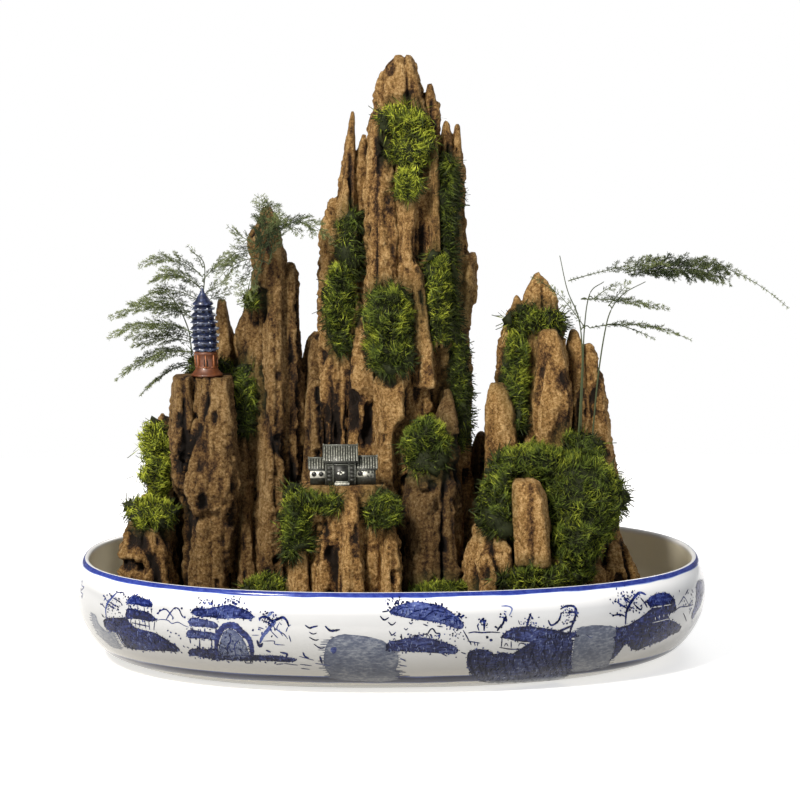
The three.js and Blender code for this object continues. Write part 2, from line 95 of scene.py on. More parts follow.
# %% Lights and world
def area_light(name, place, target, size, watts, colour):
    """An area light that looks at a target"""
    data = bpy.data.lights.new(name, "AREA")
    data.shape = "RECTANGLE"
    data.size, data.size_y = size
    data.energy = watts
    data.color = colour
    light = bpy.data.objects.new(name, data)
    bpy.context.scene.collection.objects.link(light)
    light.location = place
    light.rotation_euler = (Vector(target) - Vector(place)).to_track_quat("-Z", "Y").to_euler()
    return light


STONES_MIDDLE = (0, 0, 0.17)
area_light("key_light", (-0.68, -1.02, 1.12), STONES_MIDDLE, (0.28, 0.28), 41, (1, 0.95, 0.87))
area_light("fill_light", (1.2, -1.3, 0.5), STONES_MIDDLE, (0.9, 0.9), 4, (0.93, 0.96, 1))
area_light("back_light", (0.5, 1.2, 1.1), STONES_MIDDLE, (0.8, 0.8), 8, (1, 1, 1))

ROOM_LIGHT = 0.26
PAPER_WHITE = 1.0
world = bpy.data.worlds.new("pale_room")
world.use_nodes = True
tree = world.node_tree
background = tree.nodes["Background"]
background.inputs["Color"].default_value = (1, 1, 1, 1)
seen = tree.nodes.new("ShaderNodeLightPath")
strength = tree.nodes.new("ShaderNodeMapRange")
strength.inputs["To Min"].default_value = ROOM_LIGHT
strength.inputs["To Max"].default_value = PAPER_WHITE
tree.links.new(seen.outputs["Is Camera Ray"], strength.inputs["Value"])
tree.links.new(strength.outputs["Result"], background.inputs["Strength"])
bpy.context.scene.world = world
bpy.context.scene.view_settings.view_transform = "Standard"
bpy.context.scene.view_settings.look = "None"
print("lights:", len(bpy.data.lights))

# %% [markdown]
# ## Small tools
#
# Stone, moss and leaves are all made by pushing points about with smooth random values. Blender has
# such noise, one point at a time. Here whole arrays of points are done at once with numpy, so a
# stone of fifty thousand points takes a fraction of a second. Each use has its own seed, so every
# run gives the same object.

# %% Noise for arrays of points
def cell_values(cell, seed):
    """A random value from 0 to 1 for each whole-numbered cell"""
    words = cell.astype(np.int64) & 0xFFFFFFFF
    mixed = (words[:, 0] * 73856093) ^ (words[:, 1] * 19349663) ^ (words[:, 2] * 83492791)
    mixed = (mixed ^ (seed * 374761393)) & 0xFFFFFFFF
    for factor in (2246822519, 3266489917):
        mixed = ((mixed ^ (mixed >> 15)) * factor) & 0xFFFFFFFF
    return ((mixed ^ (mixed >> 16)) & 0xFFFFFF) / float(0xFFFFFF)


def noise(points, size, seed):
    """Smooth values from -1 to 1 that change over about one size, a number or one for each axis"""
    scaled = points / np.asarray(size, dtype=float)
    cell = np.floor(scaled).astype(np.int64)
    share = scaled - cell
    share = share**3 * (share * (share * 6 - 15) + 10)
    total = np.zeros(len(points))
    for corner in itertools.product((0, 1), repeat=3):
        weight = np.ones(len(points))
        for axis in range(3):
            weight *= share[:, axis] if corner[axis] else 1 - share[:, axis]
        total += weight * cell_values(cell + np.array(corner), seed)
    return total * 2 - 1


def smoothstep(low, high, values):
    share = np.clip((values - low) / (high - low), 0, 1)
    return share * share * (3 - 2 * share)


test = noise(np.random.default_rng(1).uniform(-50, 50, (2000, 3)), 7, 1)
print("noise spans", test.min().round(2), "to", test.max().round(2))

# %% Meshes to arrays and back
def vertex_array(mesh):
    """The vertices of a mesh in millimetres"""
    values = np.empty(len(mesh.vertices) * 3)
    mesh.vertices.foreach_get("co", values)
    return values.reshape(-1, 3) / MM


def normal_array(mesh):
    values = np.empty(len(mesh.vertices) * 3)
    mesh.vertex_normals.foreach_get("vector", values)
    return values.reshape(-1, 3)


def set_vertices(mesh, points):
    mesh.vertices.foreach_set("co", (points * MM).ravel())
    mesh.update()


def add_attribute(mesh, name, values):
    """One number for each vertex, that a material can read"""
    layer = mesh.attributes.new(name, "FLOAT", "POINT")
    layer.data.foreach_set("value", np.asarray(values, dtype=np.float32))


def new_object(name, mesh, material, replaced):
    """A piece of the object: linked, riding on the one body, and standing for its nodes"""
    piece = bpy.data.objects.new(name, mesh)
    bpy.context.scene.collection.objects.link(piece)
    mesh.materials.clear()
    mesh.materials.append(material)
    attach(piece, "root")
    if replaced:
        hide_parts(*replaced)
    return piece


def mesh_from(name, points, faces):
    """A mesh from points in millimetres and faces that all have the same number of corners"""
    faces = np.asarray(faces, dtype=np.int32)
    mesh = bpy.data.meshes.new(name)
    mesh.vertices.add(len(points))
    mesh.vertices.foreach_set("co", (np.asarray(points) * MM).ravel())
    mesh.loops.add(faces.size)
    mesh.loops.foreach_set("vertex_index", faces.ravel())
    mesh.polygons.add(len(faces))
    mesh.polygons.foreach_set("loop_start", np.arange(0, faces.size, faces.shape[1], dtype=np.int32))
    mesh.update(calc_edges=True)
    return mesh


def shade_smooth(mesh):
    mesh.polygons.foreach_set("use_smooth", np.ones(len(mesh.polygons), dtype=bool))


def remeshed(node, voxel):
    """A copy of a node's solid as an even skin of small faces"""
    carrier = bpy.data.objects.new("carrier", nodes[node].data.copy())
    bpy.context.scene.collection.objects.link(carrier)
    skin = carrier.modifiers.new("skin", "REMESH")
    skin.mode = "VOXEL"
    skin.voxel_size = voxel * MM
    mesh = bpy.data.meshes.new_from_object(carrier.evaluated_get(bpy.context.evaluated_depsgraph_get()))
    bpy.data.objects.remove(carrier)
    return mesh


print("tools ready")

# %% [markdown]
# ## The stones
#
# Tufa is lime that a spring has left on moss and stalks. It is soft, full of wormholes and crumb,
# and it weathers into upright flutes with deep clefts between them. Each stone here starts as the
# frame's faceted solid. Its skin is split into faces of about a millimetre and a half and then
# carved: clefts follow the places where a stretched noise passes through zero, which gives long
# wandering grooves, and finer noise makes ribs, crumb and wormholes. Real grooves could also be
# painted on as a bump, but then the outline would stay smooth, and these stones show their
# roughness most at the edge.

# %% Stone materials
def node_tree(name):
    """A new material with its tree, shader node and a call that adds nodes"""
    material = bpy.data.materials.new(name)
    material.use_nodes = True
    tree = material.node_tree
    return material, tree, tree.nodes["Principled BSDF"]


def add_node(tree, kind, inputs=None, **settings):
    node = tree.nodes.new(kind)
    for key, value in settings.items():
        setattr(node, key, value)
    for key, value in (inputs or {}).items():
        socket = node.inputs[key]
        if isinstance(value, bpy.types.NodeSocket):
            tree.links.new(value, socket)
        else:
            socket.default_value = value
    return node


def read_attribute(tree, name):
    return add_node(tree, "ShaderNodeAttribute", attribute_name=name).outputs["Fac"]


def calculate(tree, operation, first, second=0.0):
    return add_node(tree, "ShaderNodeMath", {0: first, 1: second}, operation=operation).outputs[0]


def ramp(tree, value, stops):
    """A colour for each value, from stops of (place, colour)"""
    node = add_node(tree, "ShaderNodeValToRGB", {"Fac": value})
    elements = node.color_ramp.elements
    while len(elements) < len(stops):
        elements.new(0.5)
    for element, (place, colour) in zip(elements, stops):
        element.position = place
        element.color = (*colour, 1)
    return node.outputs["Color"]


def blend(tree, share, first, second, mode="MIX"):
    node = add_node(tree, "ShaderNodeMix", data_type="RGBA", blend_type=mode)
    for socket, value in ((0, share), (6, first), (7, second)):
        if isinstance(value, bpy.types.NodeSocket):
            tree.links.new(value, node.inputs[socket])
        else:
            node.inputs[socket].default_value = value if socket == 0 else (*value, 1)
    return node.outputs[2]


def grain(tree, place, scale, detail=3.0, roughness=0.6):
    return add_node(
        tree, "ShaderNodeTexNoise",
        {"Vector": place, "Scale": scale, "Detail": detail, "Roughness": roughness},
    ).outputs["Fac"]


TUFA_PALE = (0.62, 0.415, 0.19)
TUFA_TAN = (0.28, 0.155, 0.048)
TUFA_RUST = (0.13, 0.064, 0.020)
TUFA_BROWN = (0.045, 0.021, 0.008)
# The darkest pores, and the near black of the painted shade in deep clefts.
TUFA_PORE_AND_CLEFT_SHADE = (0.010, 0.005, 0.002)
STAIN_GREEN = (0.045, 0.055, 0.012)


def tufa_material():
    material, tree, shader = node_tree("tufa")
    place = add_node(tree, "ShaderNodeTexCoord").outputs["Object"]
    upright = add_node(tree, "ShaderNodeMapping", {"Vector": place, "Scale": (1, 1, 0.25)}).outputs[0]
    broad = grain(tree, place, 26, 4)
    streak = grain(tree, upright, 330, 3)
    crumb = grain(tree, place, 560, 5, 0.78)
    depth = read_attribute(tree, "depth")
    texture = calculate(tree, "ADD", calculate(tree, "MULTIPLY", crumb, 0.75), calculate(tree, "MULTIPLY", streak, 0.25))
    shade = calculate(tree, "ADD", texture, calculate(tree, "MULTIPLY", calculate(tree, "SUBTRACT", broad, 0.5), 0.22))
    # Adding the openness darkens clefts and grooves: painted shade over the grain.
    shade = calculate(tree, "ADD", shade, calculate(tree, "MULTIPLY", calculate(tree, "SUBTRACT", depth, 0.8), 0.36))
    base = ramp(
        tree, shade,
        [(0.33, TUFA_PORE_AND_CLEFT_SHADE), (0.40, TUFA_BROWN), (0.465, TUFA_RUST), (0.55, TUFA_TAN), (0.70, TUFA_PALE)],
    )
    # Deep clefts are filled with near black: painted shade.
    cleft_shade = ramp(tree, calculate(tree, "ADD", depth, calculate(tree, "MULTIPLY", crumb, 0.3)), [(0.25, (1, 1, 1)), (0.7, (0, 0, 0))])
    base = blend(tree, cleft_shade, base, TUFA_PORE_AND_CLEFT_SHADE)
    base = blend(tree, 1.0, base, add_node(tree, "ShaderNodeCombineColor", {i: read_attribute(tree, "bright") for i in range(3)}).outputs[0], "MULTIPLY")
    stain = calculate(tree, "MULTIPLY", read_attribute(tree, "near_moss"), crumb)
    base = blend(tree, stain, base, STAIN_GREEN)
    tree.links.new(base, shader.inputs["Base Color"])
    shader.inputs["Roughness"].default_value = 0.93
    shader.inputs["Specular IOR Level"].default_value = 0.25
    bump = add_node(
        tree, "ShaderNodeBump", {"Height": texture, "Strength": 1.0, "Distance": 5 * MM}
    )
    tree.links.new(bump.outputs["Normal"], shader.inputs["Normal"])
    return material


tufa = tufa_material()

# %% [markdown]
# The carving is done on all stones with the same noise field, so a groove that runs from one stone
# on to the next looks as if both had weathered side by side, as they would in one quarry face.

# %% Carve the stones
STONES = [
    "main_peak", "main_left_slab", "main_right_slab", "left_peak", "saddle_stone",
    "back_left_stone", "pagoda_pillar", "left_foot_stone", "house_ledge", "front_pillar",
    "right_peak", "right_side_slab", "right_front_slab", "right_left_slab", "right_block",
    "right_edge_stone", "right_foot_stone", "gap_stone",
]
MOSSES = [name for name in nodes if name.endswith("_moss")]
STONE_VOXEL = 1.35
# Each stone's colour is multiplied by this: the stones on the left are made darker than those on the right.
BRIGHT = {
    "main_peak": 1.02,
    "pagoda_pillar": 0.62, "left_peak": 0.64, "saddle_stone": 0.6, "back_left_stone": 0.75,
    "left_foot_stone": 0.9, "front_pillar": 0.46, "house_ledge": 1.25, "gap_stone": 0.6,
}
BRIGHT_RIGHT = 1.22
# These broke off along a bed and have flat faces, so they are carved less.
CALM = {
    "right_block": 0.25, "right_front_slab": 0.35, "right_left_slab": 0.5, "right_side_slab": 0.6,
    "right_peak": 0.75, "house_ledge": 0.8,
}
SWELL = 1.6  # the stones swell by this much first, because carving only takes away
SEATS = {"pagoda_pillar": 183, "house_ledge": 119}  # sawn flat here for the figures
THIN = 3.0  # a place thinner than this isn't carved at all
THICK = 22.0  # a place thicker than this is carved in full


def tree_of(names):
    """One search tree over the solids of several nodes, in millimetres"""
    points, faces = [], []
    for name in names:
        mesh = nodes[name].data
        first = len(points)
        points.extend(vertex_array(mesh).tolist())
        faces.extend([[first + i for i in face.vertices] for face in mesh.polygons])
    return BVHTree.FromPolygons(points, faces)


def nearness(search, points, reach):
    """1 at a surface and 0 at the given distance from it"""
    result = np.zeros(len(points))
    for i, point in enumerate(points.tolist()):
        distance = search.find_nearest(point, reach)[3]
        if distance is not None:
            result[i] = 1 - distance / reach
    return result


def thickness(search, points, outward):
    """How much stone lies behind each point of the skin"""
    result = np.full(len(points), THICK)
    starts = (points - outward * 0.3).tolist()
    for i, (start, inward) in enumerate(zip(starts, (-outward).tolist())):
        distance = search.ray_cast(start, inward, THICK)[3]
        if distance is not None:
            result[i] = distance
    return result


def carving(points):
    """How far the weather has eaten into the skin at each point, and how open the place is"""
    wander = np.stack([noise(points, (26, 26, 70), 1), noise(points, (26, 26, 70), 2)], axis=1)
    bent = points.copy()
    bent[:, :2] += wander * 3.5
    cleft = 1 - smoothstep(0.0, 0.13, np.abs(noise(bent, (18, 18, 240), 3)))
    groove = 1 - smoothstep(0.0, 0.22, np.abs(noise(bent, (8, 8, 130), 4)))
    ridge = (1 - np.abs(noise(bent, (9, 9, 120), 5))) ** 2
    rib = np.abs(noise(bent, (4.2, 4.2, 34), 6))
    lump = noise(points, (17, 17, 30), 7)
    knob = np.abs(noise(points, (7, 7, 10), 8))
    crumb = np.abs(noise(points, (3.1, 3.1, 4.4), 9))
    grit = noise(points, (2.2, 2.2, 3.0), 10)
    worm = smoothstep(0.38, 0.58, noise(bent, (4.6, 4.6, 8), 11))
    hole = smoothstep(0.5, 0.64, noise(points, (8, 8, 13), 12))
    eaten = 4.6 * cleft + 1.5 * groove + 0.9 * worm + 3.2 * hole
    built = 2.2 * ridge + 1.0 * rib + 1.5 * lump + 1.1 * knob + 1.4 * crumb + 1.0 * grit
    openness = 1 - 0.8 * cleft - 0.32 * groove - 0.2 * worm - 0.6 * hole + 0.3 * (rib - 0.3) + 0.4 * (crumb - 0.3)
    return built - 2.0 - eaten, openness


moss_search = tree_of(MOSSES)
carved = []
stone_faces = 0
for name in STONES:
    mesh = remeshed(name, STONE_VOXEL)
    points = vertex_array(mesh)
    outward = normal_array(mesh)
    share = smoothstep(THIN, THICK, thickness(tree_of([name]), points, outward))
    outward[:, 2] *= np.where(outward[:, 2] > 0.6, 1, 0.3)
    outward /= np.linalg.norm(outward, axis=1)[:, None]
    below_top = points[:, 2].max() - points[:, 2]
    share *= (0.45 + 0.55 * smoothstep(4, 26, below_top)) * CALM.get(name, 1)
    change, openness = carving(points)
    change = np.where(change < 0, change * share, change * (0.3 + 0.7 * share)) + SWELL * (0.4 + 0.6 * share)
    at_foot = smoothstep(9, 20, points[:, 2])
    shaped = points + outward * (change * at_foot)[:, None]
    shaped[:, 2] = np.minimum(shaped[:, 2], SEATS.get(name, 1000))
    set_vertices(mesh, shaped)
    # The openness, stored as depth, becomes painted shade in clefts and grooves in the tufa material.
    add_attribute(mesh, "depth", np.clip(1 + (openness - 1) * (0.2 + 0.8 * share), 0, 1))
    add_attribute(mesh, "near_moss", nearness(moss_search, points, 8))
    bright = BRIGHT_RIGHT if name.startswith("right_") else BRIGHT.get(name, 1.0)
    add_attribute(mesh, "bright", np.full(len(points), bright))
    shade_smooth(mesh)
    carved.append(new_object(name + "_carved", mesh, tufa, [name]))
    stone_faces += len(mesh.polygons)
    print(name, len(mesh.polygons), "faces")
print("stones:", len(STONES), "faces:", stone_faces)

# %% [markdown]
# ## The moss
#
# The moss is a cushion kind with shoots of six to eight millimetres. Each shoot runs from near
# black at its base to yellow-green at its tip: the tips are fresh and the lower leaves brown, and
# the near black is painted shade, the shade deep in a cushion. Each node's solid reaches the tips.
# So a near-black inner cushion, painted shade, lies a few millimetres inside it, and thousands of
# bent, tapered shoots run from the cushion out to it. Faces that lie against stone get no shoots.

# %% Moss material
def moss_material():
    material, tree, shader = node_tree("moss")
    tip = read_attribute(tree, "tip")
    tone = read_attribute(tree, "tone")
    # Both ramps start near black at the base of a shoot: painted shade deep in the cushion.
    young_and_lit = ramp(
        tree, tip,
        [(0.0, (0.008, 0.010, 0.002)), (0.35, (0.05, 0.065, 0.008)), (0.65, (0.24, 0.28, 0.022)),
         (1.0, (0.60, 0.62, 0.07))],
    )
    old_and_shaded = ramp(
        tree, tip,
        [(0.0, (0.006, 0.007, 0.002)), (0.4, (0.025, 0.036, 0.006)), (1.0, (0.12, 0.17, 0.02))],
    )
    # Blending by tone is partly painted light: lit cushions lean to the bright ramp, shaded ones to the dark.
    colour = blend(tree, tone, old_and_shaded, young_and_lit)
    tree.links.new(colour, shader.inputs["Base Color"])
    shader.inputs["Roughness"].default_value = 0.75
    shader.inputs["Specular IOR Level"].default_value = 0.2
    return material


moss = moss_material()

# %% Grow the moss
def face_arrays(mesh):
    """The corner points of each triangle of a mesh, in millimetres"""
    mesh.calc_loop_triangles()
    corners = np.empty(len(mesh.loop_triangles) * 3, dtype=np.int32)
    mesh.loop_triangles.foreach_get("vertices", corners)
    return vertex_array(mesh)[corners.reshape(-1, 3)]


def scatter(mesh, per_mm2, random, keep):
    """Random places on a mesh with the normal at each, on the faces that keep chooses"""
    corners = face_arrays(mesh)
    cross = np.cross(corners[:, 1] - corners[:, 0], corners[:, 2] - corners[:, 0])
    area = np.linalg.norm(cross, axis=1) / 2
    normal = cross / (2 * area[:, None] + 1e-12)
    chosen = keep(corners.mean(axis=1), normal)
    area = area * chosen
    count = int(area.sum() * per_mm2)
    which = random.choice(len(area), count, p=area / area.sum())
    share = np.sort(random.random((count, 2)), axis=1)
    weights = np.stack([share[:, 0], share[:, 1] - share[:, 0], 1 - share[:, 1]], axis=1)
    return np.einsum("ij,ijk->ik", weights, corners[which]), normal[which]


def shoots(tips, directions, lengths, widths, random):
    """Bent tapered blades that end at the tips: five points and three faces' worth of triangles"""
    count = len(tips)
    side = np.cross(directions, random.normal(size=(count, 3)))
    side /= np.linalg.norm(side, axis=1)[:, None]
    bend = np.cross(side, directions)
    lean = random.normal(size=count) * 0.35
    points = np.empty((count, 5, 3))
    for row, (share, wide, curve) in enumerate(((1.0, 0.8, 0.0), (0.45, 1.0, 0.5))):
        centre = tips - directions * (lengths * share)[:, None] + bend * (lengths * lean * curve * 0.4)[:, None]
        points[:, 2 * row] = centre - side * (widths * wide / 2)[:, None]
        points[:, 2 * row + 1] = centre + side * (widths * wide / 2)[:, None]
    points[:, 4] = tips + bend * (lengths * lean * 0.4)[:, None]
    faces = np.array([[0, 1, 3], [0, 3, 2], [2, 3, 4]])
    all_faces = (np.arange(count) * 5)[:, None, None] + faces[None]
    return points.reshape(-1, 3), all_faces.reshape(-1, 3)


def inside_stone(points, margin):
    """Which points lie deeper in a carved stone than the margin"""
    result = np.zeros(len(points), dtype=bool)
    for search, low, high in carved_searches:
        close = np.nonzero(((points > low) & (points < high)).all(axis=1) & ~result)[0]
        for i in close.tolist():
            place, normal, _, distance = search.find_nearest(points[i] * MM)
            if distance is not None and (Vector(points[i] * MM) - place).dot(normal) < -margin * MM:
                result[i] = True
    return result


def edge_share(points, name, box):
    """0 in the middle of a cushion, 1 at its uneven edge and more beyond it, seen from the front"""
    low, high = box
    across = np.abs(2 * (points - low) / (high - low) - 1)
    share = (across[:, 0] ** 2.6 + across[:, 2] ** 2.6) ** (1 / 2.6) + 0.16 * noise(points, (9, 9, 9), 26)
    if name in MOSS_TRIMS:
        heights, middles, halves = zip(*MOSS_TRIMS[name])
        off = np.abs(points[:, 0] - np.interp(points[:, 2], heights, middles))
        off = off / (np.interp(points[:, 2], heights, halves) + 0.01)
        share = np.maximum(share, off + 0.2 * noise(points, (7, 7, 7), 27))
    return share


carved_searches = []
depsgraph = bpy.context.evaluated_depsgraph_get()
for stone in carved:
    corners = vertex_array(stone.data)
    carved_searches.append((BVHTree.FromObject(stone, depsgraph), corners.min(axis=0), corners.max(axis=0)))

SHOOT_LENGTH = 7.5
# Some cushions are narrower than their solid: at each height their middle and half width.
MOSS_TRIMS = {
    "right_strip_moss": [
        (128, 44, 6), (142, 43.5, 5.5), (203, 43, 5), (213, 37, 3.5), (262, 34.5, 3.5), (275, 35.5, 5),
        (300, 36.5, 5.5), (318, 35, 3.5), (324, 34, 0),
    ],
    "heart_moss": [(168, -2, 3), (174, -3, 12), (190, -4, 18), (215, -4, 20), (232, -4, 18), (242, -4, 12), (247, -4, 4)],
}
# How yellow and bright each cushion is, from 0, deep green, to 1, yellow: partly the moss's own
# colour and partly painted light, high for cushions on top and on the far left, where the light
# falls, and low for those in shade.
MOSS_TONE_AND_PAINTED_LIGHT = {
    "summit_moss": 1.0, "far_left_moss": 1.0, "left_cleft_moss": 0.25, "heart_moss": 0.2,
    "right_cleft_moss": 0.5, "right_strip_moss": 0.1, "pillar_moss": 0.15, "ledge_left_moss": 0.2,
    "ledge_right_moss": 0.15, "pagoda_back_moss": 0.1, "peak_root_moss": 0.2, "right_peak_moss": 0.3,
    "right_cushion_moss": 0.1, "tray_left_moss": 0.3, "tray_middle_moss": 0.15, "back_moss": 0.4,
}
shoot_count = 0
for index, name in enumerate(MOSSES):
    random = np.random.default_rng(100 + index)
    skin = remeshed(name, 2.0)
    points = vertex_array(skin)
    outward = normal_array(skin)
    bulge = 2.6 * noise(points, (10, 10, 10), 20) + 1.8 * noise(points, (5, 5, 5), 21)
    box = points.min(axis=0), points.max(axis=0)
    bulge = bulge - 11 * smoothstep(0.86, 1.12, edge_share(points, name, box))
    set_vertices(skin, points + outward * bulge[:, None])
    tips, normals = scatter(skin, 0.95, random, lambda middles, normals: np.ones(len(middles)))
    clump = noise(tips, (6, 6, 6), 22)
    tips = tips + normals * (random.uniform(-3.0, 1.6, len(tips)) + 1.2 * clump)[:, None]
    free = ~inside_stone(tips, 0.6) & (edge_share(tips, name, box) < 1.12)
    tips, normals, clump = tips[free], normals[free], clump[free]
    directions = normals + np.array([0, 0, 0.4]) + random.normal(size=tips.shape) * 0.36
    directions += np.stack([noise(tips, (8, 8, 8), seed) for seed in (23, 24, 25)], axis=1) * 0.6
    directions /= np.linalg.norm(directions, axis=1)[:, None]
    lengths = SHOOT_LENGTH * random.uniform(0.75, 1.3, len(tips))
    blades, blade_faces = shoots(tips, directions, lengths, random.uniform(0.4, 0.75, len(tips)), random)
    core = vertex_array(skin) - normal_array(skin) * 4.2
    core_faces = np.array([list(face.vertices) for face in skin.polygons if len(face.vertices) == 4])
    core_faces = core_faces[edge_share(core[core_faces].mean(axis=1), name, box) < 1.08]
    core_triangles = np.concatenate([core_faces[:, [0, 1, 2]], core_faces[:, [0, 2, 3]]])
    everything = np.concatenate([blades, core])
    mesh = mesh_from(name + "_shoots", everything, np.concatenate([blade_faces, core_triangles + len(blades)]))
    tone = np.clip(MOSS_TONE_AND_PAINTED_LIGHT.get(name, 0.5) + 0.6 * clump + random.normal(size=len(tips)) * 0.22, 0, 1)
    tip_values = np.tile([0.0, 0.0, 0.55, 0.55, 1.0], len(tips))
    # The inner cushion gets a near-black value: painted shade.
    add_attribute(mesh, "tip", np.concatenate([tip_values, np.full(len(core), 0.08)]))
    add_attribute(mesh, "tone", np.concatenate([np.repeat(tone, 5), np.full(len(core), 0.2)]))
    new_object(name + "_cushion", mesh, moss, [name])
    shoot_count += len(tips)
print("cushions:", len(MOSSES), "shoots:", shoot_count)

# %% [markdown]
# ## The ferns
#
# These are asparagus ferns. What looks like a leaf is a flat spray: a wiry rib, side twigs to left
# and right of it, and bundles of needles only a few millimetres long on each twig. The stems and
# ribs run on the routes that the frame's solids have. Every needle is one thin kite of two
# triangles, since a needle is under half a millimetre thick and its roundness can't be seen.

# %% Fern routes
# Each stem is the points it runs through, each frond is its root, middle and tip and its width.
FERNS = {
    "right_fern": {
        "stems": [
            [[119, -29, 139], [121, -27, 179], [121.5, -25, 200], [119, -24, 220], [112, -23, 237],
             [107, -22, 259]],
            [[129, -22, 143], [132, -22, 179], [136, -23, 209], [140, -24, 224.5], [148, -25, 235],
             [161.5, -26, 242.5]],
            [[121.5, -20, 141], [122.7, -19.5, 180], [123.5, -19, 212], [127, -18, 234.5],
             [136, -17, 242]],
        ],
        "fronds": [
            [[112, -26, 243], [140, -27, 252], [170, -29, 256], 20, "late", 20],
            [[148, -27, 248], [178, -30, 258], [212, -30, 247], 22, "clump", 48],
            [[152, -24, 247], [180, -25, 254], [208, -27, 248], 20, "clump", 30],
            [[160, -32, 249], [184, -34, 254], [215, -34, 244], 18, "clump", 60],
            [[204, -30, 254], [230, -31, 246], [252, -32, 226], 20, "tail", 30],
            [[121, -20, 231], [150, -22, 232], [178, -24, 224.5], 17, "leaf", 12],
            [[138, -25, 227], [145, -27, 236], [152, -28, 243], 10, "leaf", 40],
            [[129, -20, 231], [138, -19, 239], [147, -18, 241], 9, "leaf", 25],
            [[127, -20, 212.5], [160, -16, 220], [194, -12, 203.5], 14, "leaf", 9],
            [[150, -17, 213], [160, -18, 210], [169, -20, 205], 7, "leaf", 15],
            [[123, -27, 213], [112, -28, 230], [100, -27, 240], 9, "leaf", 50],
            [[104, -27, 236], [97, -27, 242], [88, -27, 246], 4, "leaf", 50],
        ],
    },
    "left_fern": {
        "stems": [
            [[-128, 5, 180], [-129, 5, 196], [-131, 4, 211], [-138.7, 3, 227.6], [-150, 2, 238]],
            [[-124, 9, 180], [-123, 9, 205], [-121.7, 9, 228], [-120.4, 9, 252], [-129, 9, 261]],
        ],
        "fronds": [
            [[-121.7, 9, 244], [-140, 6, 265], [-163, 4, 250.6], 20, "leaf", 22],
            [[-123, 12, 236], [-138, 16, 252], [-158, 20, 239], 20, "leaf", 24],
            [[-124, 14, 228], [-142, 20, 240], [-160, 24, 231], 20, "leaf", 22],
            [[-126, 4, 216], [-148, 0, 235], [-182, -4, 217.7], 24, "leaf", 18],
            [[-127, 0, 208], [-152, -8, 223], [-182, -12, 205.5], 22, "leaf", 16],
            [[-128, 8, 201], [-148, 10, 209], [-169, 12, 198], 20, "leaf", 22],
            [[-130, 8, 195], [-152, 12, 201], [-180, 14, 175.5], 22, "leaf", 16],
            [[-131, 12, 187], [-147, 20, 185], [-165, 26, 164], 16, "leaf", 18],
            [[-122, 9, 241], [-111, 8, 256], [-95, 6, 256], 18, "leaf", 24],
            [[-121, 9, 232], [-113, 6, 240], [-103, 3, 243], 14, "leaf", 28],
            [[-129, 5, 222], [-140, 2, 224], [-153, 0, 219], 14, "leaf", 30],
            [[-121.5, 9, 250], [-124, 9, 258], [-131, 8, 264], 9, "leaf", 40],
            [[-123, 2, 238], [-136, -4, 250], [-150, -8, 246], 18, "leaf", 30],
            [[-125, 14, 222], [-145, 16, 232], [-170, 18, 224], 22, "leaf", 24],
            [[-128, 12, 204], [-148, 16, 212], [-174, 20, 203], 20, "leaf", 24],
            [[-129, 2, 196], [-144, -2, 198], [-163, -4, 186], 16, "leaf", 26],
            [[-122, 12, 226], [-114, 14, 232], [-101, 14, 236], 14, "leaf", 30],
        ],
    },
    "peak_fern": {
        "stems": [[[-89, -12, 229], [-86, -19, 244], [-81, -20, 260], [-78, -19, 272]]],
        "fronds": [
            [[-82.6, -22, 265.6], [-93.4, -24, 269], [-103.7, -26, 278], 14, "leaf", 35],
            [[-82.6, -22, 261], [-98, -24, 267], [-113.3, -23, 251], 18, "leaf", 30],
            [[-85, -21, 256], [-90, -24, 246], [-94, -25, 227], 18, "leaf", 55],
            [[-87, -21, 257.5], [-100, -23, 257], [-111.4, -24, 243], 18, "leaf", 40],
            [[-76, -22, 274], [-58, -24, 293], [-36, -25, 265.5], 20, "leaf", 24],
            [[-78, -21, 277], [-66, -25, 286], [-56, -25, 271], 14, "leaf", 40],
            [[-80, -21, 273], [-80, -25, 287], [-83, -20, 297.5], 16, "leaf", 60],
            [[-78, -25, 254], [-74, -31, 269], [-70, -25, 285], 20, "leaf", 60],
            [[-84, -25, 258], [-80, -31, 272], [-76, -24, 292], 22, "clump", 60],
            [[-88, -23, 262], [-84, -28, 268], [-79, -26, 283], 18, "clump", 50],
        ],
    },
}


def fern_material(name, dark, light):
    material, tree, shader = node_tree(name)
    colour = blend(tree, read_attribute(tree, "tone"), dark, light)
    tree.links.new(colour, shader.inputs["Base Color"])
    shader.inputs["Roughness"].default_value = 0.6
    shader.inputs["Specular IOR Level"].default_value = 0.25
    return material


fern_green = fern_material("fern_green", (0.018, 0.028, 0.010), (0.15, 0.18, 0.065))
fern_stem = fern_material("fern_stem", (0.018, 0.024, 0.010), (0.06, 0.075, 0.03))


# %% Grow the ferns
def along_curve(points, count):
    """Even places on a smooth curve through points"""
    points = np.asarray(points, dtype=float)
    padded = np.concatenate([[2 * points[0] - points[1]], points, [2 * points[-1] - points[-2]]])
    places = []
    for step in np.linspace(0, len(points) - 1, count):
        i = min(int(step), len(points) - 2)
        t = step - i
        a, b, c, d = padded[i : i + 4]
        places.append(
            0.5 * (2 * b + (c - a) * t + (2 * a - 5 * b + 4 * c - d) * t**2 + (3 * b - a - 3 * c + d) * t**3)
        )
    return np.array(places)


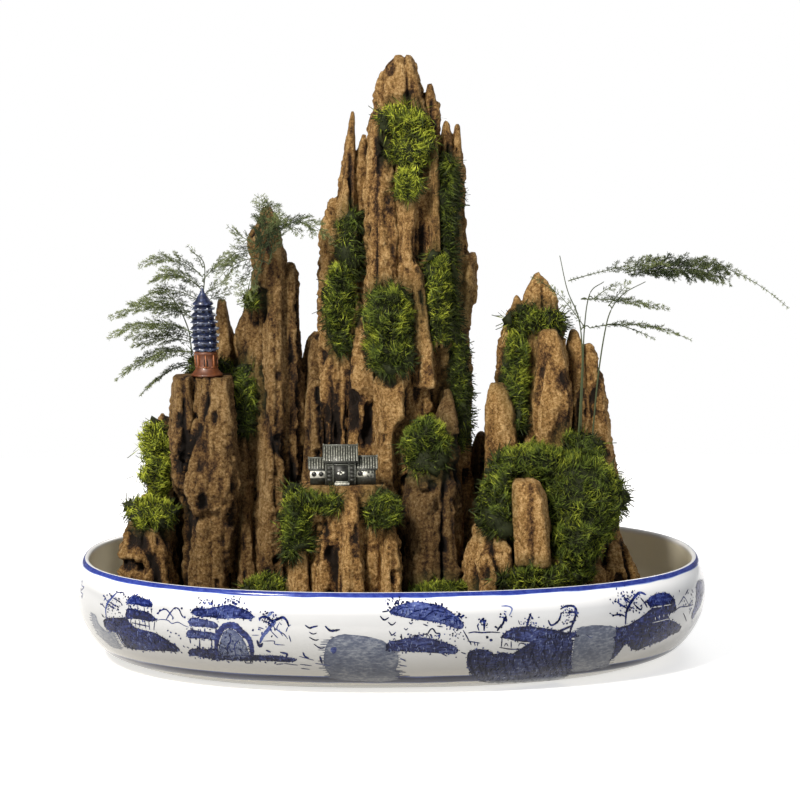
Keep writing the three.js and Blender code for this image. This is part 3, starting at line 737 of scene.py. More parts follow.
def tube(path, radii, sides=5):
    """A round rod along a path, with its own radius at each place"""
    path = np.asarray(path)
    heading = np.gradient(path, axis=0)
    heading /= np.linalg.norm(heading, axis=1)[:, None]
    helper = np.where(np.abs(heading[:, 2:3]) > 0.9, [[1.0, 0, 0]], [[0, 0, 1.0]])
    first = np.cross(heading, helper)
    first /= np.linalg.norm(first, axis=1)[:, None]
    second = np.cross(heading, first)
    turn = np.arange(sides) / sides * 2 * math.pi
    ring = first[:, None] * np.cos(turn)[None, :, None] + second[:, None] * np.sin(turn)[None, :, None]
    points = path[:, None] + ring * np.asarray(radii)[:, None, None]
    faces = []
    for row in range(len(path) - 1):
        for i in range(sides):
            a, b = row * sides + i, row * sides + (i + 1) % sides
            faces += [[a, b, b + sides], [a, b + sides, a + sides]]
    return points.reshape(-1, 3), np.array(faces)


def joined(parts):
    """Several sets of points and faces as one, with a tone for each set"""
    points, faces, tones, first = [], [], [], 0
    for part_points, part_faces, tone in parts:
        points.append(part_points)
        faces.append(part_faces + first)
        tones.append(np.full(len(part_points), tone))
        first += len(part_points)
    return np.concatenate(points), np.concatenate(faces), np.concatenate(tones)


def needles(roots, directions, lengths, random):
    """Thin kites: two triangles each, widest a third of the way along"""
    across = np.cross(directions, random.normal(size=roots.shape))
    across /= np.linalg.norm(across, axis=1)[:, None]
    points = np.empty((len(roots), 4, 3))
    points[:, 0] = roots
    belly = roots + directions * (lengths * 0.4)[:, None]
    points[:, 1] = belly - across * 0.17
    points[:, 2] = belly + across * 0.17
    points[:, 3] = roots + directions * lengths[:, None]
    faces = (np.arange(len(roots)) * 4)[:, None, None] + np.array([[0, 1, 2], [1, 3, 2]])[None]
    return points.reshape(-1, 3), faces.reshape(-1, 3)


TWIG_STEP = 2.6
NEEDLE_STEP = 0.6
NEEDLE_LENGTH = 2.3
# How wide a spray is along its rib, as (share of the way, share of the full width)
SPRAYS = {
    "leaf": [(0, 0.2), (0.15, 0.65), (0.4, 1), (0.7, 0.85), (0.9, 0.45), (1, 0.1)],
    "late": [(0, 0.04), (0.3, 0.16), (0.45, 0.6), (0.6, 1), (0.8, 1), (1, 0.9)],
    "tail": [(0, 0.9), (0.2, 0.6), (0.4, 0.3), (0.6, 0.16), (1, 0.08)],
    "clump": [(0, 0.3), (0.2, 0.9), (0.5, 1), (0.8, 0.95), (1, 0.4)],
}


def grow_frond(root, middle, tip, width, spray, tilt, random):
    """A rib with side twigs to left and right and needles on both, as parts with a tone each

    The tilt is how far the spray shows its upper side to the front, in degrees."""
    tilt = math.radians(tilt)
    root, middle, tip = (np.array(point, dtype=float) for point in (root, middle, tip))
    t = np.linspace(0, 1, 24)[:, None]
    rib = root * (1 - t) ** 2 + middle * 2 * t * (1 - t) + tip * t**2
    length = np.linalg.norm(np.diff(rib, axis=0), axis=1).sum()
    parts = [(*tube(rib, np.linspace(0.33, 0.12, 24), 4), 0.3)]
    places, headings, reaches = [], [], []
    count = int(length / TWIG_STEP)
    for step in range(count):
        share = min(max((step + random.uniform(0.1, 0.9)) / count, 0.02), 0.99)
        centre = root * (1 - share) ** 2 + middle * 2 * share * (1 - share) + tip * share**2
        heading = 2 * (1 - share) * (middle - root) + 2 * share * (tip - middle)
        heading /= np.linalg.norm(heading)
        level = np.cross([0, 0, 1.0], heading)
        level /= np.linalg.norm(level)
        if level[1] > 0:
            level = -level
        up = np.cross(heading, level)
        up *= np.sign(up[2])
        across = level * math.cos(tilt) - up * math.sin(tilt)
        full = 0.56 * width * np.interp(share, *zip(*SPRAYS[spray]))
        for side in (-1, 1):
            reach = max(full * random.uniform(0.7, 1.15), 1.6)
            spread = random.uniform(0.7, 1.2)
            direction = heading * math.cos(spread) + across * side * math.sin(spread) + up * random.normal() * 0.13
            direction /= np.linalg.norm(direction)
            twigs = [(centre, direction, reach)]
            sub_step = 3.2
            for place in np.arange(sub_step, reach - 1.5, sub_step):
                for sub_side in (-1, 1):
                    turn = random.uniform(0.6, 1.0)
                    sub = direction * math.cos(turn) + np.cross(up, direction) * sub_side * math.sin(turn)
                    sub = sub + up * random.normal() * 0.15
                    twigs.append((centre + direction * place, sub / np.linalg.norm(sub), min(0.5 * (reach - place) + 1.2, 5)))
            for start, way, size in twigs:
                line = start + np.linspace(0, 1, 3)[:, None] * size * way
                parts.append((*tube(line, np.linspace(0.15, 0.08, 3), 3), 0.4))
                for place in np.arange(0.4, size, NEEDLE_STEP):
                    places.append(start + way * place)
                    headings.append(way)
                    reaches.append(NEEDLE_LENGTH * (1 - 0.4 * place / size))
    places, headings, reaches = np.array(places), np.array(headings), np.array(reaches)
    copies = 3 if spray == "clump" else 2
    places = np.repeat(places, copies, axis=0) + random.normal(size=(len(places) * copies, 3)) * 0.15
    headings = np.repeat(headings, copies, axis=0)
    spread = random.normal(size=headings.shape)
    spread -= headings * (spread * headings).sum(axis=1)[:, None]
    spread /= np.linalg.norm(spread, axis=1)[:, None]
    directions = headings * 0.75 + spread * 0.66
    directions /= np.linalg.norm(directions, axis=1)[:, None]
    lengths = np.repeat(reaches, copies) * random.uniform(0.6, 1.1, len(places))
    needle_points, needle_faces = needles(places, directions, lengths, random)
    third = len(needle_faces) // 6 * 2
    tones = (0.0, 0.2, 0.5) if spray == "clump" else (0.1, 0.5, 0.9)
    for index, tone in enumerate(tones):
        first = index * third
        last = len(needle_faces) if index == 2 else first + third
        parts.append((needle_points[first * 2 : last * 2], needle_faces[first:last] - first * 2, tone))
    return parts


def footstalk(root, paths, random):
    """A thin stalk from the nearest stem to the root of a frond"""
    every = np.concatenate(paths)
    nearest = every[np.argmin(np.linalg.norm(every - root, axis=1))]
    bend = (nearest + root) / 2 + np.array([0, 0, 1.0])
    return (*tube(along_curve([nearest, bend, root], 8), np.linspace(0.42, 0.34, 8), 5), 0.5)


needle_faces_made = 0
for index, (plant, routes) in enumerate(FERNS.items()):
    random = np.random.default_rng(300 + index)
    stem_nodes = [name for name in nodes if name.startswith(plant + "_stem")]
    frond_nodes = [name for name in nodes if name.startswith(plant + "_frond")]
    paths = [along_curve(route, 40) for route in routes["stems"]]
    stem_parts = [(*tube(path, np.linspace(0.6, 0.26, 40), 6), random.uniform(0.3, 0.8)) for path in paths]
    stem_parts += [
        footstalk(np.array(frond[0], dtype=float), paths, random)
        for frond in routes["fronds"] if frond[4] == "leaf" and frond[3] > 6
    ]
    points, faces, tones = joined(stem_parts)
    mesh = mesh_from(plant + "_stems", points, faces)
    add_attribute(mesh, "tone", tones)
    shade_smooth(mesh)
    new_object(plant + "_stems_wiry", mesh, fern_stem, stem_nodes)
    frond_parts = []
    for frond in routes["fronds"]:
        frond_parts += grow_frond(*frond, random)
    points, faces, tones = joined(frond_parts)
    mesh = mesh_from(plant + "_fronds", points, faces)
    add_attribute(mesh, "tone", np.clip(tones + noise(points, (6, 6, 6), 31) * 0.3, 0, 1))
    new_object(plant + "_fronds_fine", mesh, fern_green, frond_nodes)
    needle_faces_made += len(faces)
print("ferns:", len(FERNS), "triangles in fronds:", needle_faces_made)

# %% [markdown]
# ## The tray
#
# The tray is one piece of white porcelain, thrown or moulded and pressed to an oval. Its wall
# bulges, its lip is rounded, and it stands on a narrow foot. The oval is a little squarer than an
# ellipse, which the formula of a superellipse gives with a power just over two. The painter works
# on the raw glaze with cobalt, so line, wash and glaze are one skin and the paint has no edge to
# feel. The inside is coloured a pale grey-olive, darker than the white outside: painted shade
# inside the wall. The outside turns darker and greyer towards the foot: painted shade on the lower wall.

# %% Tray shape
TRAY_HALF_LENGTH = 200
TRAY_HALF_WIDTH = 140
TRAY_OVAL = 2.3
TRAY_COLUMNS = 288
# Each profile point is how far inside the rim's outline, and the height.
TRAY_PROFILE_OUT = [
    (34, 0), (30.5, 0.25), (27, 1.5), (20.5, 4.0), (13, 7.7), (7, 13), (2, 20), (-1.9, 28), (-3.9, 36),
    (-4.4, 43), (-3.7, 50), (-2.1, 57), (-0.3, 62), (0.4, 63.6), (1.4, 64.7), (2.6, 65),
]
TRAY_PROFILE_IN = [
    (3.8, 64.6), (4.4, 63.4), (4.0, 60), (2.9, 52), (2.2, 44), (2.2, 37), (4.2, 28), (8.5, 20), (13.4, 14),
    (20, 10), (27, 8), (36, 7), (70, 6.9), (100, 6.9), (130, 6.9),
]


def oval_point(angle, inset):
    """A point on the tray's outline, drawn in by the inset"""
    c, s = np.cos(angle), np.sin(angle)
    power = 2 / TRAY_OVAL
    x = (TRAY_HALF_LENGTH - inset) * np.sign(c) * np.abs(c) ** power
    y = (TRAY_HALF_WIDTH - inset) * np.sign(s) * np.abs(s) ** power
    return np.stack([x, y], axis=-1)


def even_angles(count):
    """Angles whose points on the rim lie evenly apart"""
    fine = np.linspace(0, 2 * math.pi, 20001)
    rim = oval_point(fine, 0)
    travelled = np.concatenate([[0], np.cumsum(np.linalg.norm(np.diff(rim, axis=0), axis=1))])
    return np.interp(np.linspace(0, travelled[-1], count, endpoint=False), travelled, fine)


def smooth_profile(points, step):
    """The profile with rounded corners and places about one step apart"""
    flat = [(inset, 0, z) for inset, z in points]
    length = np.linalg.norm(np.diff(np.array(points), axis=0), axis=1).sum()
    return along_curve(flat, int(length / step))[:, [0, 2]]


COBALT_STEPS = [
    (0.0, (0.78, 0.79, 0.80)), (0.22, (0.33, 0.41, 0.62)), (0.5, (0.075, 0.12, 0.42)),
    (0.75, (0.016, 0.028, 0.19)), (1.0, (0.005, 0.008, 0.045)),
]
SLATE_STEPS = [
    (0.0, (0.78, 0.79, 0.80)), (0.5, (0.145, 0.165, 0.19)), (0.8, (0.03, 0.037, 0.065)),
    (1.0, (0.012, 0.014, 0.03)),
]
# The outside is white below the rim and turns grey and a little warm towards the foot: painted
# shade on the lower wall.
GLAZE_PAINTED_SHADE_STEPS = [
    (0.004, (0.27, 0.24, 0.18)), (0.018, (0.25, 0.24, 0.22)), (0.034, (0.36, 0.36, 0.355)),
    (0.052, (0.53, 0.535, 0.55)), (0.060, (0.95, 0.95, 0.96)),
]
# Painted shade: the inside's colour, darker and greyer than the white outside.
INSIDE_PAINTED_SHADE = (0.80, 0.76, 0.61)


def glaze_material(name):
    material, tree, shader = node_tree(name)
    place = add_node(tree, "ShaderNodeTexCoord").outputs["Object"]
    level = add_node(tree, "ShaderNodeMapping", {"Vector": place, "Scale": (1, 1, 2.5)}).outputs[0]
    ink = read_attribute(tree, "ink")
    brush = calculate(tree, "SUBTRACT", grain(tree, level, 330, 4), 0.5)
    pool = calculate(tree, "SUBTRACT", grain(tree, place, 90, 3), 0.5)
    uneven = calculate(tree, "ADD", calculate(tree, "MULTIPLY", brush, 1.5), calculate(tree, "MULTIPLY", pool, 1.1))
    loose = calculate(tree, "MULTIPLY_ADD", read_attribute(tree, "banded"), -0.75)
    loose.node.inputs[2].default_value = 1.0
    uneven = calculate(tree, "MULTIPLY", uneven, loose)
    strength = calculate(tree, "MULTIPLY", ink, calculate(tree, "ADD", uneven, 1.0))
    cobalt = ramp(tree, strength, COBALT_STEPS)
    slate = ramp(tree, strength, SLATE_STEPS)
    painted = blend(tree, read_attribute(tree, "grey"), cobalt, slate)
    # Darker towards the foot by height: painted shade on the lower wall.
    height = add_node(tree, "ShaderNodeSeparateXYZ", {0: place}).outputs["Z"]
    top = GLAZE_PAINTED_SHADE_STEPS[-1][0]
    painted_foot_shade = ramp(tree, calculate(tree, "DIVIDE", height, top), [(at / top, colour) for at, colour in GLAZE_PAINTED_SHADE_STEPS])
    outside_colour = blend(tree, 1.0, painted, painted_foot_shade, "MULTIPLY")
    # The inside takes a darker grey-olive: painted shade inside the tray.
    colour = blend(tree, read_attribute(tree, "within"), outside_colour, INSIDE_PAINTED_SHADE)
    tree.links.new(colour, shader.inputs["Base Color"])
    shader.inputs["Roughness"].default_value = 0.16
    tree.links.new(calculate(tree, "MULTIPLY_ADD", ink, -0.3), shader.inputs["Specular IOR Level"])
    shader.inputs["Specular IOR Level"].links[0].from_node.inputs[2].default_value = 0.4
    shader.inputs["Coat Weight"].default_value = 0.08
    shader.inputs["Coat Roughness"].default_value = 0.06
    return material


RIM_LINE = (62.4, 1.7)  # from this height on the outside, over the lip to this inset
FOOT_LINE = (7.6, 12.4)
glaze = glaze_material("porcelain")
angles = even_angles(TRAY_COLUMNS)
outside = smooth_profile(TRAY_PROFILE_OUT, 0.9)
profile = np.concatenate([outside, smooth_profile(TRAY_PROFILE_IN, 3.0)])
rings, inks, within = [], [], []
for row, (inset, height) in enumerate(profile):
    outline = oval_point(angles, inset)
    rings.append(np.concatenate([outline, np.full((TRAY_COLUMNS, 1), height)], axis=1))
    wobble = 0.35 * noise(np.stack([outline[:, 0], outline[:, 1], outline[:, 0] * 0], axis=1), 14, 40)
    is_outside = row < len(outside)
    rim = (smoothstep(-0.35, 0.35, height - RIM_LINE[0] - wobble) * (inset < RIM_LINE[1])) * is_outside
    foot = smoothstep(-0.3, 0.3, height - FOOT_LINE[0] - wobble) * smoothstep(-0.3, 0.3, FOOT_LINE[1] - height + wobble)
    inks.append(np.maximum(0.72 * rim, 0.95 * foot * is_outside))
    within.append(np.full(TRAY_COLUMNS, smoothstep(0.0, 3.0, 64.0 - height) * (not is_outside)))
points = np.concatenate(rings)
faces = []
for row in range(len(profile) - 1):
    for i in range(TRAY_COLUMNS):
        a, b = row * TRAY_COLUMNS + i, row * TRAY_COLUMNS + (i + 1) % TRAY_COLUMNS
        faces.append([a, b, b + TRAY_COLUMNS, a + TRAY_COLUMNS])
mesh = mesh_from("tray_wall", points, faces)
add_attribute(mesh, "ink", np.concatenate(inks))
add_attribute(mesh, "within", np.concatenate(within))
add_attribute(mesh, "banded", np.ones(len(points)))
shade_smooth(mesh)
new_object("tray_body", mesh, glaze, ["tray"])
print("tray rows:", len(profile), "faces:", len(faces))

# %% [markdown]
# ## The painting on the tray
#
# The painter draws a river view with a brush: pale washes first, then islands, roofs and rocks in
# full cobalt, then lines and leaf dabs. It is the traditional landscape that thousands of such
# trays carry, so no one painting is copied. Each mark below lies on the unrolled wall: how far along
# the wall from the middle of the front, in millimetres, and how high above the table. The marks are
# thin skins on the wall with the same glaze, each with its own strength of ink. The back of the tray
# has the same view again.

# %% Marks of the brush
# A wash is its ink from 0 to 1, how grey it is, and its outline. A stroke is its ink, its width and
# the points it runs through. Dabs are their ink, their radius and their places.
WASHES = [
    (0.4, 0.8, [
        (-214.6, 38.1), (-208.7, 38.5), (-206.4, 33.8), (-200.7, 30.3), (-191, 29.4), (-189.8, 24.9),
        (-189.8, 20.8), (-199.3, 18.3), (-207.6, 20.9), (-213.6, 25.8), (-216.1, 31.9),
    ]),
    (0.5, 0.8, [
        (-44, 31.1), (-41.9, 36.3), (-38.3, 39.4), (-33.5, 41), (-27.5, 41), (-20.4, 40.1), (-13.3, 38.6),
        (-8, 36.4), (-3.8, 31.2), (-0.1, 28), (0, 21.7), (-1.2, 17.4), (1.4, 14.4), (-1, 11.2),
        (-6.2, 9.1), (-18, 8.8), (-30.9, 9.6), (-40.4, 10.8), (-43.9, 15.9), (-45.4, 22.3),
    ]),
    (0.5, 0.8, [
        (108.7, 33), (109.3, 38), (113.2, 40.8), (120, 41.4), (128.5, 40.6), (135, 39.3), (138.2, 36.4),
        (140.2, 28.4), (142, 21.3), (141.9, 15.6), (143, 10.9), (135.6, 10.4), (126.7, 9.9), (119, 10.1),
        (113.3, 13.2), (110.1, 22.9),
    ]),
    (0.92, 0.15, [
        (-199, 37.1), (-191.9, 39.6), (-184.7, 40.7), (-176.2, 41.7), (-172.9, 39.3), (-168.1, 36.9),
        (-160, 36), (-153.9, 35.5), (-148.4, 33.6), (-143.1, 31), (-139.3, 28.8), (-137.3, 26.3),
        (-140.4, 24.3), (-147.1, 24.2), (-157.7, 23.1), (-168.2, 21.9), (-178.5, 21.4), (-185.4, 22.6),
        (-186.8, 27.4), (-188.5, 30.5), (-194.7, 30.7), (-199.6, 32.4),
    ]),
    (0.85, 0.1, [
        (-176.6, 50.9), (-175.2, 54.1), (-170.6, 56.5), (-164.5, 55.7), (-157.9, 54.7), (-155.1, 52.6),
        (-155.5, 50.8), (-160.9, 50.5), (-165.8, 50.8), (-170.8, 50.7),
    ]),
    (0.9, 0.1, [
        (-176.6, 42.6), (-175.6, 47.3), (-173.1, 48.3), (-169.7, 48.4), (-163.8, 48), (-157.4, 47.5),
        (-153.4, 45.6), (-151, 43.4), (-156.3, 42.2), (-162.6, 42.3), (-170.1, 42.3), (-175.4, 41.2),
    ]),
    (0.8, 0.3, [
        (-127.4, 50.5), (-125.1, 53.1), (-121.1, 53.6), (-116.4, 53.4), (-113.3, 54.8), (-108.8, 55.3),
        (-105.1, 56.4), (-100.6, 56.4), (-97.3, 55.4), (-93.4, 54.5), (-89.5, 52.9), (-86.8, 50.7),
        (-87.9, 48.6), (-92.9, 48.6), (-97.9, 49), (-103, 48.4), (-109.3, 48), (-114.6, 48.5),
        (-119.1, 48.2), (-123.8, 48.7),
    ]),
    (0.7, 0.3, [
        (-129, 44.4), (-127.8, 46.9), (-123.8, 47.5), (-118.4, 47), (-113.1, 46.2), (-109.2, 44.7),
        (-108.5, 43), (-112.4, 41.7), (-117.6, 42.3), (-123.6, 42.1), (-127.6, 42.7),
    ]),
    (0.78, 0.3, [
        (-130.7, 36.8), (-129.1, 39.4), (-125, 40.1), (-119.7, 39.6), (-113.8, 39.5), (-109.3, 38.5),
        (-108.2, 36.1), (-112.3, 34.6), (-118.1, 35.1), (-124.2, 34.9), (-129.6, 34.7),
    ]),
    (0.82, 0.3, [
        (-131, 26.3), (-125.4, 28.3), (-118.7, 28.2), (-113.2, 29.3), (-109.8, 26.9), (-112.3, 23.3),
        (-118.8, 22), (-126.1, 22.7), (-131.6, 22.8),
    ]),
    (0.5, 0.6, [
        (-110, 24.1), (-107.7, 34.9), (-104.1, 41.4), (-98.3, 41.7), (-93, 35.8), (-91.3, 29.5),
        (-92.2, 25.4),
    ]),
    (0.88, 0.3, [
        (-115.5, 23.7), (-103.8, 25.3), (-90.7, 26.2), (-83.1, 26.6), (-74.3, 26.7), (-67, 25.9),
        (-61.8, 24.4), (-64.5, 22.9), (-72.6, 22.6), (-83.9, 22.8), (-95, 22.1), (-106.2, 21.7),
        (-116.4, 21.2),
    ]),
    (0.68, 0.35, [
        (-5.6, 54.3), (-3.2, 56.6), (1.1, 58.5), (7.1, 59.6), (14.4, 59.8), (21, 58.6), (26.9, 56.8),
        (31.1, 54.4), (34.5, 51.5), (37.4, 49.1), (39.2, 45.5), (36.7, 43.5), (33.1, 44.4), (28.4, 46.3),
        (22.4, 47.9), (15.3, 49.2), (8.1, 50.1), (1, 51.6), (-4.4, 53.1),
    ]),
    (0.82, 0.3, [
        (-7.4, 34.5), (-5, 36.7), (-0.2, 37.6), (4.5, 38.5), (11.7, 39.3), (18.8, 38.3), (24.8, 36.9),
        (30.3, 34.9), (34.7, 32.6), (36.3, 30.3), (34.3, 28.1), (28.8, 28.5), (21.5, 29), (13.1, 29.8),
        (4.6, 30.2), (-2.6, 30.6), (-6.8, 31.3),
    ]),
    (0.88, 0.3, [
        (41.8, 27.1), (43.3, 29.7), (47.5, 30.9), (54.3, 30), (58.4, 27.2), (63.8, 28.3), (68.5, 26.7),
        (72.5, 28.5), (77.7, 32), (82.9, 35.6), (89.2, 37.7), (96.2, 38.5), (102.8, 37.3), (107.3, 33.1),
        (109.4, 22.9), (114.1, 13.1), (116.5, 7.9), (118.9, 2.3), (109.5, 2), (96.6, 2.4), (83.5, 3.6),
        (71.8, 4.2), (60.5, 5.8), (51.6, 9), (45.7, 14.9), (42.6, 20.9),
    ]),
    (0.88, 0.25, [
        (61.7, 38), (64, 41), (67.7, 42.6), (72, 43.6), (77.6, 44), (82.6, 43.4), (88.9, 42.1),
        (95.4, 40.7), (102, 38.6), (108.7, 38.1), (110.2, 35.4), (105.7, 34.5), (97.7, 35.2),
        (89.3, 35.5), (80, 33.8), (72.4, 34.9), (66, 36.5),
    ]),
    (0.93, 0.1, [
        (137.4, 37.7), (141.8, 38.5), (147.9, 39.6), (154, 42), (159.8, 44.3), (164.3, 46.2),
        (170.7, 47.1), (181.4, 47.4), (188.6, 45), (189.5, 42.3), (183.2, 40.8), (182.6, 37.7),
        (190, 34.5), (200, 29.4), (199.3, 26.9), (188.9, 26.1), (181.9, 24), (171.1, 22.5), (161.3, 20.6),
        (154.3, 22.3), (147.9, 26.7), (142.2, 29.4), (138.4, 32.5),
    ]),
    (0.82, 0.1, [
        (162.3, 50.7), (164.7, 53.4), (170.5, 54.8), (177.2, 54.8), (183.9, 53.2), (188.1, 49.4),
        (188.7, 45.6), (181.4, 47.1), (171.7, 47.6), (164.5, 48),
    ]),
    (0.88, 0.2, [
        (136.8, 32.7), (143.4, 30.6), (147.5, 27.4), (145.6, 23.6), (144.5, 19.6), (141.6, 17.1),
        (140.4, 22.9), (138.8, 27.9),
    ]),
    (0.8, 0.1, [
        (220.1, 50.1), (225, 53.7), (235.2, 53.3), (246, 50.6), (244.8, 46.6), (235.1, 42.7),
        (229.1, 38.1), (220.8, 35.2), (215.8, 31.6), (212.4, 34.9), (216.6, 41.2), (218.7, 45.3),
    ]),
]
